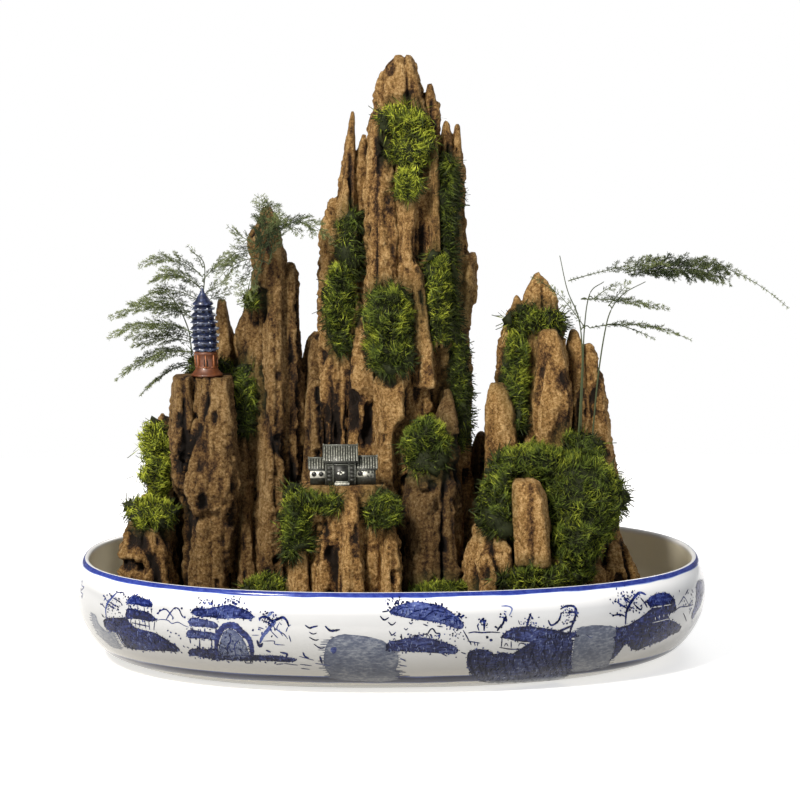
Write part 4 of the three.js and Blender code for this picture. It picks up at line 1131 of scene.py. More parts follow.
STROKES = [
    (0.6, 0.74, [
        (-236.8, 55.5), (-236.7, 52.3), (-231.2, 52.1), (-236.7, 48.5), (-231.2, 47.7), (-232.7, 44.8),
    ]),
    (0.6, 1.49, [(-195.4, 38.3), (-196, 44.6), (-194.3, 48.6), (-191, 52.1), (-187, 55.8)]),
    (0.9, 0.68, [(-196, 44.6), (-199.7, 46.4), (-202.1, 46.7)]),
    (0.9, 0.68, [(-194.3, 48.6), (-198.5, 51.6), (-201.1, 52.4)]),
    (0.9, 0.68, [(-191, 52.1), (-193.8, 54.2)]),
    (0.9, 0.68, [(-193.4, 49.3), (-188, 48.3), (-183.1, 47.8)]),
    (0.9, 0.68, [(-190, 52.3), (-184.6, 51.3), (-180.5, 50)]),
    (0.9, 0.68, [(-187, 55.8), (-181.4, 56.6), (-179.1, 55.1)]),
    (0.9, 0.68, [(-197.6, 38.6), (-200.8, 40.6)]),
    (0.9, 0.68, [(-174.4, 50.9), (-173.9, 47.3)]),
    (0.9, 0.68, [(-166.6, 50.7), (-166.2, 47.1)]),
    (0.9, 0.68, [(-161.7, 50.7), (-160.6, 47.8)]),
    (0.9, 0.68, [(-156.2, 50.7), (-155.1, 47.2)]),
    (0.9, 0.68, [(-171.8, 42), (-172.1, 38.8)]),
    (0.9, 0.68, [(-168, 41.9), (-168, 37.5)]),
    (0.9, 0.68, [(-164.3, 41.8), (-164.7, 37.3)]),
    (0.9, 0.68, [(-160.2, 42.3), (-159.9, 37.3)]),
    (0.9, 0.68, [(-157.1, 42.1), (-156.8, 37.1)]),
    (0.9, 0.68, [(-152.5, 42.6), (-153.7, 36.8)]),
    (0.9, 0.68, [(-171.2, 39.6), (-156.6, 39)]),
    (0.8, 0.56, [
        (-151, 43.4), (-147.3, 44.4), (-143, 44.3), (-140, 42.7), (-135.8, 43.8), (-131.7, 42.3),
        (-128.3, 41.4),
    ]),
    (0.85, 0.87, [(-144.4, 44.1), (-141.8, 48.6), (-138.8, 52.5)]),
    (0.85, 0.87, [(-150.6, 47.7), (-148.5, 49.7), (-145, 50.7), (-141.8, 48.6), (-138.8, 45.9)]),
    (0.85, 0.87, [(-138.8, 52.5), (-135.8, 51.6), (-133.4, 48.2), (-131.9, 47.1)]),
    (0.85, 0.93, [(-125.6, 41.6), (-125.8, 39.1)]),
    (0.85, 0.93, [(-117.6, 41.7), (-117.8, 39.2)]),
    (0.85, 0.93, [(-110.4, 42.2), (-110.6, 38.5)]),
    (0.85, 0.93, [(-128.3, 34.5), (-128.3, 31.2)]),
    (0.85, 0.93, [(-121.6, 34.4), (-122.8, 27.8)]),
    (0.85, 0.93, [(-113.6, 34.4), (-114.7, 28.5)]),
    (0.78, 4.03, [
        (-112.8, 23.9), (-110.3, 34.7), (-107.3, 41.2), (-103.4, 44.2), (-98.3, 44.2), (-94, 40.7),
        (-89.8, 36.6), (-88.7, 30.3), (-89.6, 25.5),
    ]),
    (0.9, 0.99, [(-105.3, 24.5), (-103.8, 31.3), (-101.3, 35.3), (-102.2, 39.6)]),
    (0.9, 0.87, [(-99.8, 25.6), (-99.2, 32.2), (-96.1, 35.7)]),
    (0.6, 2.23, [(-83.2, 34.4), (-81.1, 38.9), (-77.9, 42.8), (-75.5, 46.4), (-73.2, 48.9)]),
    (0.95, 1.74, [
        (-83.6, 48.5), (-81.8, 50.3), (-78.8, 50.4), (-75.6, 48.2), (-72, 49.5), (-69, 50.5),
        (-66.5, 48.5), (-65.2, 45),
    ]),
    (0.8, 0.68, [(-73.1, 47.7), (-74.3, 44.7), (-70.6, 41.8), (-68.9, 39.4)]),
    (0.8, 0.68, [(-70.7, 47.8), (-72.4, 43.6), (-68.2, 40.6), (-65.9, 37.6)]),
    (0.8, 0.68, [(-65.8, 45), (-67, 41.9)]),
    (0.8, 0.68, [(-65.2, 40.1), (-64.1, 35.8)]),
    (0.8, 0.68, [(-76.6, 42.8), (-73.1, 39.2), (-71.9, 38)]),
    (0.8, 0.68, [(-84, 44.3), (-80.3, 43.3)]),
    (0.92, 1.74, [(-84.9, 36.3), (-83.5, 32.5), (-81.4, 34.5)]),
    (0.8, 0.5, [(-87.8, 39.2), (-83.5, 39.4)]),
    (0.7, 0.56, [(-81.2, 35.8), (-74.4, 36.1), (-74, 34.2), (-68, 33.8)]),
    (0.85, 1.36, [(-80, 30.1), (-77.1, 28.9)]),
    (0.9, 1.36, [(-71.5, 29.1), (-67.3, 28), (-68.3, 25.9)]),
    (0.7, 0.56, [(-95.3, 20.7), (-90.2, 20.7)]),
    (0.7, 0.56, [(-75.5, 20.7), (-70.4, 21.3)]),
    (0.7, 0.56, [(-70.3, 21.6), (-61.8, 20.6)]),
    (0.7, 0.56, [(-60.1, 26.8), (-51.3, 24.3)]),
    (0.7, 0.56, [(-60.4, 21.3), (-53.1, 20.4)]),
    (0.7, 0.56, [(-60.3, 18.4), (-54.8, 17.8)]),
    (0.7, 0.56, [(-51, 22.2), (-41.3, 20.7)]),
    (0.7, 0.56, [(0.6, 21), (5.5, 20.3)]),
    (0.7, 0.56, [(-1.2, 16.7), (5.1, 15.9)]),
    (0.7, 0.56, [(-1.7, 13), (7.8, 13.2)]),
    (0.85, 1.24, [(-57.4, 29.6), (-56.5, 26.9), (-54.2, 25.6)]),
    (0.85, 1.36, [(-47.3, 27.1), (-46.6, 22.3)]),
    (0.92, 1.18, [(-55.6, 46.4), (-52.9, 44.7), (-50.8, 45.3), (-47.8, 46)]),
    (0.92, 1.43, [(-43.6, 46), (-40.6, 43.4), (-37.6, 43.4), (-34.7, 44)]),
    (0.92, 0.74, [(-53.1, 42.3), (-50.8, 41.1), (-48.4, 41.8)]),
    (0.92, 0.74, [(-53.2, 39.2), (-49.7, 37.4), (-47.3, 37.8)]),
    (0.92, 0.81, [(-50.4, 34.9), (-46.9, 32.4), (-43.9, 32.7)]),
    (0.92, 0.5, [(-40.7, 39.4), (-38.3, 39.4)]),
    (0.92, 1.12, [(-10.9, 52), (-8.5, 49.7), (-5.6, 51.1)]),
    (0.92, 0.93, [(-9.7, 54.3), (-5.6, 54.9)]),
    (0.92, 0.81, [(-6.2, 48.5), (-3.8, 46.7), (-1.4, 48.5)]),
    (0.92, 0.81, [(-5.6, 43.2), (-3.8, 40.7), (-1.4, 42.5)]),
    (0.92, 0.68, [(6.3, 48.4), (7.5, 47.2), (8.7, 48.4)]),
    (0.92, 0.68, [(3.3, 44.9), (4.5, 43.7), (5.7, 44.8)]),
    (0.92, 0.74, [(14.7, 47.1), (17.6, 45.9)]),
    (0.92, 0.81, [(23, 45.8), (26.6, 45.2)]),
    (0.92, 0.74, [(1.1, 25.9), (4.8, 23.8)]),
    (0.95, 0.93, [(16.4, 39.2), (18.8, 43.5), (20.6, 44.1), (22.4, 41.6), (24.8, 41), (23.6, 37.3)]),
    (0.95, 0.87, [(1.6, 41.3), (2.2, 36.9)]),
    (0.9, 0.62, [(8.1, 40), (14, 40.8)]),
    (0.9, 0.74, [(25.8, 28.9), (29.6, 26.8)]),
    (0.8, 0.74, [(37.9, 29.2), (41.1, 27.9)]),
    (0.95, 1.24, [(34.4, 46.8), (35.7, 51.4), (37.6, 52.6)]),
    (0.95, 0.81, [(-2, 53.7), (2.2, 56.5), (8.3, 57.1)]),
    (0.95, 0.81, [(5.8, 51.9), (10.6, 54.7), (17.9, 55.8)]),
    (0.95, 0.81, [(15.3, 50.6), (21.4, 54.6), (28.6, 53.3)]),
    (0.95, 0.81, [(24.8, 48.7), (30.9, 50.4), (34.4, 48)]),
    (0.95, 0.81, [(-2.6, 33.2), (2.2, 35.1), (8.2, 34.3)]),
    (0.95, 0.81, [(8.2, 31.8), (15.3, 34.9), (23.8, 33.5)]),
    (0.95, 0.81, [(20.3, 30.9), (27.4, 32.7), (33.6, 30)]),
    (0.9, 0.74, [(38.5, 43.1), (41, 38.7), (43, 34.9)]),
    (0.92, 0.87, [(41.6, 41.2), (45.2, 41.7), (50, 41.2), (55.5, 41.3), (61, 40.8)]),
    (0.92, 0.81, [(47, 45.8), (48.2, 42.2)]),
    (0.95, 1.36, [(51.2, 42.1), (51.3, 46.3), (50.7, 48.7)]),
    (0.95, 1.36, [(59.1, 41.8), (60.3, 43.6), (62.9, 46.4), (63.6, 50)]),
    (0.5, 0.87, [(62.3, 56.4), (66.6, 56.2), (68.9, 54.4), (66.7, 50.4)]),
    (0.85, 0.62, [(41.1, 36.3), (49, 34.7)]),
    (0.85, 0.62, [(42.9, 36.2), (43.7, 33.6)]),
    (0.85, 0.62, [(45.3, 36.1), (46.2, 32.9)]),
    (0.85, 0.62, [(47.8, 35.4), (47.4, 32.8)]),
    (0.9, 0.68, [(62.3, 37.3), (62.2, 31.6)]),
    (0.9, 0.68, [(68, 35.2), (68.5, 30.6)]),
    (0.9, 0.68, [(72.8, 31.7), (73.8, 33.6), (77, 32.7), (78, 30.1)]),
    (0.9, 0.68, [(82.5, 34.3), (82.3, 31.1)]),
    (0.9, 0.68, [(61, 31.6), (69.2, 29.9), (79.3, 30)]),
    (0.9, 0.68, [(64, 32.1), (65, 34), (66.5, 32)]),
    (0.9, 0.62, [(73.3, 44.8), (72.2, 47.8)]),
    (0.93, 1.36, [(77, 42.8), (79.1, 48.7), (80.5, 51.5)]),
    (1.0, 1.18, [(44.7, 28.4), (44.3, 22.2), (47.5, 15.6), (52.6, 9.8)]),
    (1.0, 1.18, [(48.9, 28.9), (49.3, 22), (52.7, 15.4), (57.1, 8.7)]),
    (1.0, 1.18, [(54.5, 28.7), (54.5, 21.1), (56.1, 14.5), (61, 7.6)]),
    (1.0, 1.18, [(60.4, 26.4), (60.5, 19.4), (63.6, 13.4), (70.4, 5.6)]),
    (1.0, 1.18, [(65.5, 26.1), (66.1, 19.9), (70.3, 13), (76.7, 5)]),
    (1.0, 1.18, [(71.8, 25.8), (72, 19.5), (76.1, 13.4), (85.7, 4)]),
    (1.0, 1.18, [(76.9, 28.9), (77.8, 22), (82.5, 15.9), (91.7, 4.6)]),
    (1.0, 1.18, [(83.3, 33), (82.3, 27.2), (86.2, 20), (101.4, 3.2)]),
    (1.0, 1.18, [(89.6, 33.9), (90.2, 26.6), (95.1, 17.8), (107.4, 3.7)]),
    (1.0, 1.18, [(94.7, 34.1), (97.8, 27.4), (97.5, 19.8), (110.3, 5.6)]),
    (1.0, 1.18, [(100.6, 33.7), (102.6, 27), (103.6, 18.5), (112.6, 7.5)]),
    (1.0, 1.18, [(104.9, 32), (106.5, 25.2), (108.7, 16.6), (113.2, 9.9)]),
    (0.92, 1.61, [
        (106.6, 33.2), (105.3, 38.4), (106.4, 42.6), (108.6, 47.3), (109.7, 51.4), (108, 53.9),
        (103.4, 54.2), (99.3, 52.7),
    ]),
    (0.85, 1.36, [(106.4, 42.6), (102.6, 41.1), (99.3, 40.1), (95.5, 39.1)]),
    (0.85, 1.3, [(91, 46.8), (92.8, 43.6), (96.7, 45.2), (98.8, 48), (99.7, 50.9)]),
    (0.9, 1.18, [(103.5, 50.1), (108.2, 50.3), (110.6, 47.1)]),
    (0.9, 1.24, [(104.5, 44.6), (109.2, 45.4)]),
    (0.75, 0.5, [(116.2, 36.2), (119.4, 33.9), (121.4, 34.4)]),
    (0.8, 1.86, [(144, 39.5), (144.8, 46.8), (148.6, 51.8), (153.4, 55.5), (158, 57.3), (162.6, 55.5)]),
    (0.92, 1.12, [(148.6, 51.8), (146, 54.5), (143.7, 57.7)]),
    (0.92, 1.12, [(145.8, 49.1), (142.3, 51.3), (138.3, 54.1)]),
    (0.92, 1.12, [(143.8, 44.5), (140.2, 46.1), (134.3, 46.1)]),
    (0.92, 1.12, [(150.9, 51.6), (155.9, 47.3), (157.8, 48.9)]),
    (0.92, 1.12, [(157.3, 54.4), (160.5, 50.4), (161.9, 47.7)]),
    (0.92, 1.12, [(137.2, 39.6), (139.8, 29.7)]),
    (0.85, 0.74, [(192.1, 45), (197.4, 47.9), (200.2, 48.7), (204.8, 43.5)]),
    (0.85, 0.74, [(201.7, 49.7), (207.3, 52.5)]),
    (0.85, 0.74, [(189.5, 42.3), (194.2, 43.4), (204.9, 42.2), (212.8, 42)]),
    (0.85, 0.74, [(198.6, 38.8), (205.4, 32.3)]),
    (0.85, 0.74, [(207.5, 36.5), (209.8, 40.6)]),
    (0, 0.62, [(166.2, 47.2), (173.5, 47), (184.5, 46.6)]),
    (0, 0.5, [(166.3, 37.7), (175.5, 37.9), (185.8, 37.9)]),
    (0, 0.74, [(-185.5, 30.3), (-185.1, 25.7), (-183.4, 22.6)]),
    (0, 0.81, [(168.6, 41.1), (168.8, 39.3)]),
    (0, 0.81, [(172.3, 41.6), (172.5, 39.7)]),
    (0, 0.81, [(176.6, 41.5), (176.8, 39.7)]),
    (0, 0.81, [(181.1, 41.4), (181.3, 39.6)]),
]
DABS = [
    (0.9, 0.68, [
        (-202.1, 46.7), (-199.8, 52), (-198.1, 50.4), (-193.8, 54.2), (-191.4, 53.3), (-187.2, 56.4),
        (-183.2, 56.3), (-180.2, 55.5), (-178.5, 54.5), (-184.1, 52.6), (-182.6, 50.9), (-180.4, 49.4),
        (-186, 48), (-187.8, 46.2), (-189.9, 46.8), (-199.7, 39.5), (-184, 47.7),
    ]),
    (0.7, 0.74, [(-238.9, 54.5), (-231.2, 52.1), (-237.2, 49.7), (-233.1, 46)]),
    (0.9, 0.74, [
        (-150.6, 47.7), (-149.2, 49.7), (-146.5, 50.8), (-138.7, 51.9), (-133.9, 52.3), (-139.5, 45.8),
        (-131.2, 47.2),
    ]),
    (0.75, 0.62, [
        (-143.3, 38), (-141.2, 37), (-142.4, 34.3), (-137.6, 36.7), (-135.7, 35.7), (-134.7, 33.8),
        (-133.6, 28.8), (-130.9, 28.4), (-136.7, 24.4),
    ]),
    (0.85, 0.87, [
        (-114.2, 56.2), (-114.4, 57.3), (-105.9, 57.6), (-100.8, 57.8), (-98.8, 57.1), (-97.1, 58.3),
        (-91.5, 54.5), (-120.5, 54), (-109.6, 55.9),
    ]),
    (0.35, 1.61, [(-77.1, 52.2)]),
    (0.85, 0.74, [(-101, 39.1), (-104.3, 37), (-100.1, 34.8), (-81.6, 40.7), (-87.1, 42.3)]),
    (0.7, 2.23, [(-38.6, 31.2)]),
    (0.92, 0.87, [
        (-6.2, 58.8), (-5, 56.6), (-1.3, 59.9), (-0.1, 59.1), (2.9, 59.9), (5.3, 59.9), (6.5, 59.3),
        (19.8, 58.3), (22.8, 58.6), (24.5, 57.4), (26.4, 58), (32.1, 51.5), (36.4, 52.6), (37.5, 50.8),
        (38.7, 51.4), (36.8, 47.9), (36.2, 44.9),
    ]),
    (0.85, 0.5, [
        (28.9, 43.9), (30.7, 43.9), (33.7, 42), (36.2, 40.7), (38.6, 39.4), (35.6, 38.3), (39.2, 37.5),
        (30.8, 37.8), (33.8, 36.4), (35.2, 26), (12.3, 41.8),
    ]),
    (0.92, 0.93, [
        (49.5, 48.1), (51.9, 48.1), (50.7, 49.3), (64.2, 49.4), (61.6, 44.7), (58.5, 44.2), (79.8, 50.4),
        (80.9, 48.6), (53.1, 38.3), (55.6, 36.4),
    ]),
    (0.9, 0.81, [
        (145, 57), (146.9, 55), (143.2, 58.4), (139.7, 53.4), (141.5, 51.4), (137.6, 54.2), (135, 46.1),
        (138, 47), (140.1, 45.5), (151.7, 58), (152.9, 56.7), (152.7, 47.1), (155, 45.6), (150.2, 46.8),
        (157, 49.6), (160.6, 51), (153.6, 48.8),
    ]),
    (0.85, 0.62, [(195.3, 53.2), (212.9, 50.8), (210.5, 48.7), (199.7, 46.2), (206.1, 50.2)]),
]

# %% Lay the marks on the wall
belly_angles = np.linspace(-math.pi / 2, 1.5 * math.pi, 8001)
belly = oval_point(belly_angles, outside[:, 0].min())
belly_length = np.concatenate([[0], np.cumsum(np.linalg.norm(np.diff(belly, axis=0), axis=1))])
TRAY_ROUND = belly_length[-1]


def wall_point(along, height):
    """A place on the outside of the wall, from the way along it and the height"""
    angle = np.interp(np.mod(along, TRAY_ROUND), belly_length, belly_angles)
    xy = oval_point(angle, np.interp(height, outside[:, 1], outside[:, 0]))
    return np.concatenate([xy, np.asarray(height)[:, None]], axis=1)


def on_wall(flat, lift):
    """Flat points laid on the wall, a little in front of it"""
    along, height = flat[:, 0], np.clip(flat[:, 1], 0.6, 64)
    place = wall_point(along, height)
    normal = np.cross(wall_point(along + 0.5, height) - place, wall_point(along, height + 0.4) - place)
    normal /= np.linalg.norm(normal, axis=1)[:, None]
    return place + normal * lift


def closed_curve(points, step):
    """A smooth closed line through points, with places about a step apart"""
    points = np.asarray(points, dtype=float)
    before, after, beyond = np.roll(points, 1, 0), np.roll(points, -1, 0), np.roll(points, -2, 0)
    line = []
    for a, b, c, d in zip(before, points, after, beyond):
        count = max(1, int(np.linalg.norm(c - b) / step))
        for t in np.arange(count) / count:
            line.append(0.5 * (2 * b + (c - a) * t + (2 * a - 5 * b + 4 * c - d) * t**2 + (3 * b - a - 3 * c + d) * t**3))
    return np.array(line)


def inside_outline(places, outline):
    """Which places lie inside a closed line"""
    result = np.zeros(len(places), dtype=bool)
    for a, b in zip(outline, np.roll(outline, -1, 0)):
        crosses = (a[1] > places[:, 1]) != (b[1] > places[:, 1])
        level = np.where(b[1] == a[1], 1, b[1] - a[1])
        result ^= crosses & (places[:, 0] < (b[0] - a[0]) * (places[:, 1] - a[1]) / level + a[0])
    return result


def wash_skin(outline, random):
    """A filled outline as flat points, triangles and how far inside each point lies"""
    edge = closed_curve(outline, 1.3)
    edge += random.normal(size=edge.shape) * 0.12
    low, high = edge.min(axis=0), edge.max(axis=0)
    grid = np.stack(np.meshgrid(np.arange(low[0], high[0], 2.2), np.arange(low[1], high[1], 2.2)), -1).reshape(-1, 2)
    grid = grid[inside_outline(grid, edge)]
    gap = np.linalg.norm(grid[:, None] - edge[None], axis=2).min(axis=1)
    grid = grid[gap > 0.9]
    everything = [Vector(point) for point in np.concatenate([edge, grid]).tolist()]
    found = delaunay_2d_cdt(everything, [], [list(range(len(edge)))], 1, 1e-4)
    flat = np.array([list(point) for point in found[0]])
    depth = np.linalg.norm(flat[:, None] - edge[None], axis=2).min(axis=1)
    return flat, np.array([list(face) for face in found[2]]), depth


def stroke_skin(points, width, random):
    """A brush line that swells and thins"""
    points = np.array([(a, 0, b) for a, b in points], dtype=float)
    length = np.linalg.norm(np.diff(points, axis=0), axis=1).sum()
    path = along_curve(points, max(3, int(length / 0.8) + 1))[:, [0, 2]]
    share = np.linspace(0, 1, len(path))
    half = width / 2 * (0.35 + 0.65 * np.sin(math.pi * share) ** 0.5) * random.uniform(0.85, 1.15, len(path))
    heading = np.gradient(path, axis=0)
    side = np.stack([-heading[:, 1], heading[:, 0]], axis=1)
    side /= np.linalg.norm(side, axis=1)[:, None] + 1e-9
    flat = np.concatenate([path - side * half[:, None], path + side * half[:, None]])
    count = len(path)
    rows = np.arange(count - 1)
    faces = np.concatenate([
        np.stack([rows, rows + 1, rows + 1 + count], axis=1),
        np.stack([rows, rows + 1 + count, rows + count], axis=1),
    ])
    return flat, faces


def dab_skin(place, radius, random):
    """One touch of the brush"""
    turn = np.arange(9) / 9 * 2 * math.pi
    reach = radius * random.uniform(0.7, 1.15, 9)
    long = random.uniform(0.8, 1.5)
    ring = np.stack([np.cos(turn) * reach * long, np.sin(turn) * reach / long], axis=1)
    lean = random.uniform(0, math.pi)
    turned = ring @ np.array([[math.cos(lean), math.sin(lean)], [-math.sin(lean), math.cos(lean)]])
    flat = np.concatenate([[place], place + turned])
    faces = np.array([[0, 1 + i, 1 + (i + 1) % 9] for i in range(9)])
    return flat, faces


def leafy_edge(outline, random):
    """Touches along the outline of an island, where its bushes and rocks are"""
    edge = closed_curve(outline, 1.7)
    edge = edge + random.normal(size=edge.shape) * 0.55
    return [dab_skin(place, random.uniform(0.3, 0.75), random) for place in edge]


def hatching(outline, random):
    """Short slanting lines inside an outline, which give rocks their grain"""
    edge = closed_curve(outline, 2.0)
    low, high = edge.min(axis=0), edge.max(axis=0)
    places = random.uniform(low, high, size=(int((high - low).prod() / HATCH_AREA), 2))
    skins = []
    for place in places[inside_outline(places, edge)]:
        slant = np.array([random.uniform(-0.9, 0.9), -random.uniform(1.0, 2.6)])
        line = [place - slant / 2, place + np.array([0.25, 0]), place + slant / 2]
        skins.append(stroke_skin(line, random.uniform(0.3, 0.6), random))
    return skins


def dry_brush(outline, random):
    """Level lines where the brush left the wall beside a pale wash"""
    edge = closed_curve(outline, 1.5)
    sides = edge[(edge[:, 0] < edge[:, 0].min() + 5) | (edge[:, 0] > edge[:, 0].max() - 5)]
    middle = edge[:, 0].mean()
    skins = []
    for place in sides:
        out = np.array([np.sign(place[0] - middle) * random.uniform(1.0, 4.5), random.normal() * 0.2])
        skins.append(stroke_skin([place - out, place, place + out], random.uniform(0.4, 1.0), random))
    return skins


HATCH_AREA = 4.5
# Leaves of trees and bushes: the middle of each group, its half width and half height, its count.
LEAF_GROUPS = [
    (-191.0, 47.2, 10.0, 6.1, 60), (-119.1, 57.6, 5.4, 2.0, 18), (-99.7, 58.7, 7.5, 2.0, 24),
    (-78.0, 47.5, 7.2, 6.1, 60), (-1.9, 60.5, 6.0, 2.0, 22), (33.9, 50.9, 6.0, 2.7, 22),
    (15.8, 39.9, 16.8, 2.0, 50), (50.1, 46.9, 4.8, 2.7, 14), (64.3, 50.5, 3.6, 4.1, 14),
    (79.6, 45.6, 5.0, 3.4, 18), (104.1, 48.8, 5.9, 6.8, 50), (146.5, 53.3, 10.1, 6.0, 80),
    (207.9, 44.1, 12.8, 5.4, 26), (-107.9, 29.7, 19.5, 2.0, 44),
]
WASH_LIFT, STROKE_LIFT, DAB_LIFT = 0.06, 0.14, 0.17
random = np.random.default_rng(500)
skins = []
for order, (ink, grey, outline) in enumerate(WASHES):
    flat, faces, depth = wash_skin(outline, random)
    strength = ink * (1.1 - 0.16 * smoothstep(0, 2.4, depth))
    skins.append((flat, faces, strength, grey, WASH_LIFT + 0.003 * order))
    if grey > 0.6:
        skins += [(*skin, np.full(len(skin[0]), ink), grey, WASH_LIFT) for skin in dry_brush(outline, random)]
        continue
    for skin in leafy_edge(outline, random):
        skins.append((*skin, np.full(len(skin[0]), random.uniform(0.6, 1.05)), grey, DAB_LIFT))
    for skin in hatching(outline, random):
        shade = random.choice([0.42, 0.62, 1.15, 1.25])
        skins.append((*skin, np.full(len(skin[0]), shade), grey, STROKE_LIFT))
for ink, width, line in STROKES:
    flat, faces = stroke_skin(line, width, random)
    skins.append((flat, faces, np.full(len(flat), ink), 0.15, STROKE_LIFT))
for ink, radius, places in DABS:
    for place in places:
        flat, faces = dab_skin(np.array(place, dtype=float), radius, random)
        skins.append((flat, faces, np.full(len(flat), ink), 0.15, DAB_LIFT))
for along, height, wide, high, count in LEAF_GROUPS:
    for place in np.array([along, height]) + random.normal(size=(count, 2)) * np.array([wide, high]) * 0.5:
        flat, faces = dab_skin(place, random.uniform(0.3, 0.7), random)
        skins.append((flat, faces, np.full(len(flat), random.uniform(0.6, 1.1)), 0.15, DAB_LIFT))
points, faces, inks, greys, first = [], [], [], [], 0
for half_round in (0, TRAY_ROUND / 2):
    for flat, triangles, strength, grey, lift in skins:
        laid = on_wall(flat + np.array([half_round, 0]), lift)
        a, b, c = laid[triangles[0]]
        outward = np.array([laid[:, 0].mean(), laid[:, 1].mean(), 0])
        turned = triangles if np.dot(np.cross(b - a, c - a), outward) > 0 else triangles[:, ::-1]
        points.append(laid)
        faces.append(turned + first)
        inks.append(strength)
        greys.append(np.full(len(laid), grey))
        first += len(laid)
mesh = mesh_from("tray_painting", np.concatenate(points), np.concatenate(faces))
add_attribute(mesh, "ink", np.concatenate(inks))
add_attribute(mesh, "grey", np.concatenate(greys))
shade_smooth(mesh)
new_object("tray_brushwork", mesh, glaze, [])
print("marks:", 2 * len(skins), "faces:", len(mesh.polygons))

# %% [markdown]
# ## The pagoda
#
# The pagoda is a small fired figurine, as sold for such trays: a flared eight-sided foot of bare
# orange clay with a door, a tower of seven blue-glazed storeys and a pointed roof. Glaze runs off
# sharp edges before it sets, so the edges of the eaves come out pale. It leans a little, since it
# was only pressed into moss and cement. Each storey is a set of eight-sided rings, with the
# corners of its eave drawn out and up.

# %% Pagoda
PAGODA_PLACE = np.array([-117.6, -24, 183.3])
PAGODA_LEAN = -0.05
PAGODA_TIERS = 7
TIER_RISE = 4.25
TOWER_FOOT = 15.8
EAVES = [8.6, 9.2, 9.5, 9.5, 9.1, 8.5, 7.6]  # the tower is a little fuller halfway up


def figure_material(name, stops, roughness, streak_scale, streak_share, coat):
    """A finish whose colour follows the tone of each part, with streaks"""
    material, tree, shader = node_tree(name)
    place = add_node(tree, "ShaderNodeTexCoord").outputs["Object"]
    streak = calculate(tree, "SUBTRACT", grain(tree, place, streak_scale, 3), 0.5)
    tone = calculate(tree, "ADD", read_attribute(tree, "tone"), calculate(tree, "MULTIPLY", streak, streak_share))
    tree.links.new(ramp(tree, tone, stops), shader.inputs["Base Color"])
    shader.inputs["Roughness"].default_value = roughness
    shader.inputs["Coat Weight"].default_value = coat
    return material


blue_glaze = figure_material(
    "pagoda_blue",
    [(0.0, (0.003, 0.004, 0.009)), (0.35, (0.008, 0.012, 0.036)), (0.55, (0.02, 0.03, 0.085)),
     (0.75, (0.07, 0.09, 0.15)), (1.0, (0.5, 0.54, 0.6))],
    0.34, 520, 1.7, 0.1,
)
orange_clay = figure_material(
    "pagoda_clay",
    [(0.0, (0.006, 0.003, 0.002)), (0.3, (0.018, 0.006, 0.002)), (0.6, (0.08, 0.021, 0.005)),
     (1.0, (0.28, 0.09, 0.024))],
    0.5, 380, 0.5, 0.1,
)


def eight_rings(rows):
    """Eight-sided rings with mid-edge points, each row (height, radius, how far corners stand out, up)"""
    points, faces = [], []
    for height, radius, out, up in rows:
        for i in range(16):
            turn = (i + 1) / 16 * 2 * math.pi
            corner = i % 2 == 0
            reach = radius * (1 + out) if corner else radius * math.cos(math.pi / 8)
            points.append([math.cos(turn) * reach, math.sin(turn) * reach, height + (up if corner else 0)])
    for row in range(len(rows) - 1):
        for i in range(16):
            a, b = row * 16 + i, row * 16 + (i + 1) % 16
            faces += [[a, b, b + 16], [a, b + 16, a + 16]]
    top = (len(rows) - 1) * 16
    for i in range(1, 15):
        faces += [[0, i + 1, i], [top, top + i, top + i + 1]]
    return np.array(points, dtype=float), np.array(faces)


def box_part(low, high, tone):
    """A box with its corners at low and high"""
    low, high = np.array(low, dtype=float), np.array(high, dtype=float)
    corners = np.array(list(itertools.product((0, 1), repeat=3)))
    quads = [[0, 1, 3, 2], [4, 6, 7, 5], [0, 4, 5, 1], [2, 3, 7, 6], [0, 2, 6, 4], [1, 5, 7, 3]]
    faces = [[q[0], q[1], q[2]] for q in quads] + [[q[0], q[2], q[3]] for q in quads]
    return low + corners * (high - low), np.array(faces), tone


def turned(part, angle):
    """A part turned about the upright axis"""
    points, faces, tone = part
    c, s = math.cos(angle), math.sin(angle)
    return points @ np.array([[c, s, 0], [-s, c, 0], [0, 0, 1]]), faces, tone


def placed_pagoda(parts, name, material, replaced):
    points, faces, tones = joined(parts)
    points[:, 0] += points[:, 2] * PAGODA_LEAN
    mesh = mesh_from(name, points + PAGODA_PLACE, faces)
    add_attribute(mesh, "tone", tones)
    return new_object(name, mesh, material, replaced)


foot_rows = [
    (0.0, 10.7, 0, 0), (0.9, 10.7, 0.0, 0), (1.3, 10.0, 0, 0), (2.6, 9.0, 0, 0), (3.0, 8.6, 0, 0),
    (4.4, 7.8, 0, 0), (6.4, 7.0, 0, 0), (13.2, 6.8, 0, 0), (13.7, 7.5, 0.02, 0), (14.6, 7.9, 0.03, 0.1),
    (15.2, 7.4, 0, 0), (15.8, 7.0, 0, 0),
]
clay_parts = [(*eight_rings(foot_rows), 0.6)]
for i in range(8):
    clay_parts.append(turned(box_part((6.6, -0.45, 5.2), (7.4, 0.45, 13.4), 0.85), (i + 0.5) * math.pi / 4 + math.pi / 8))
for i in range(8):
    clay_parts.append(turned(box_part((6.2, -2.2, 5.4), (7.1, 2.2, 6.2), 0.75), i * math.pi / 4))
door = [(math.cos(turn) * 1.25, 9.6 + math.sin(turn) * 1.6) for turn in np.linspace(0, math.pi, 9)]
door = [(1.25, 4.9)] + door + [(-1.25, 4.9)]
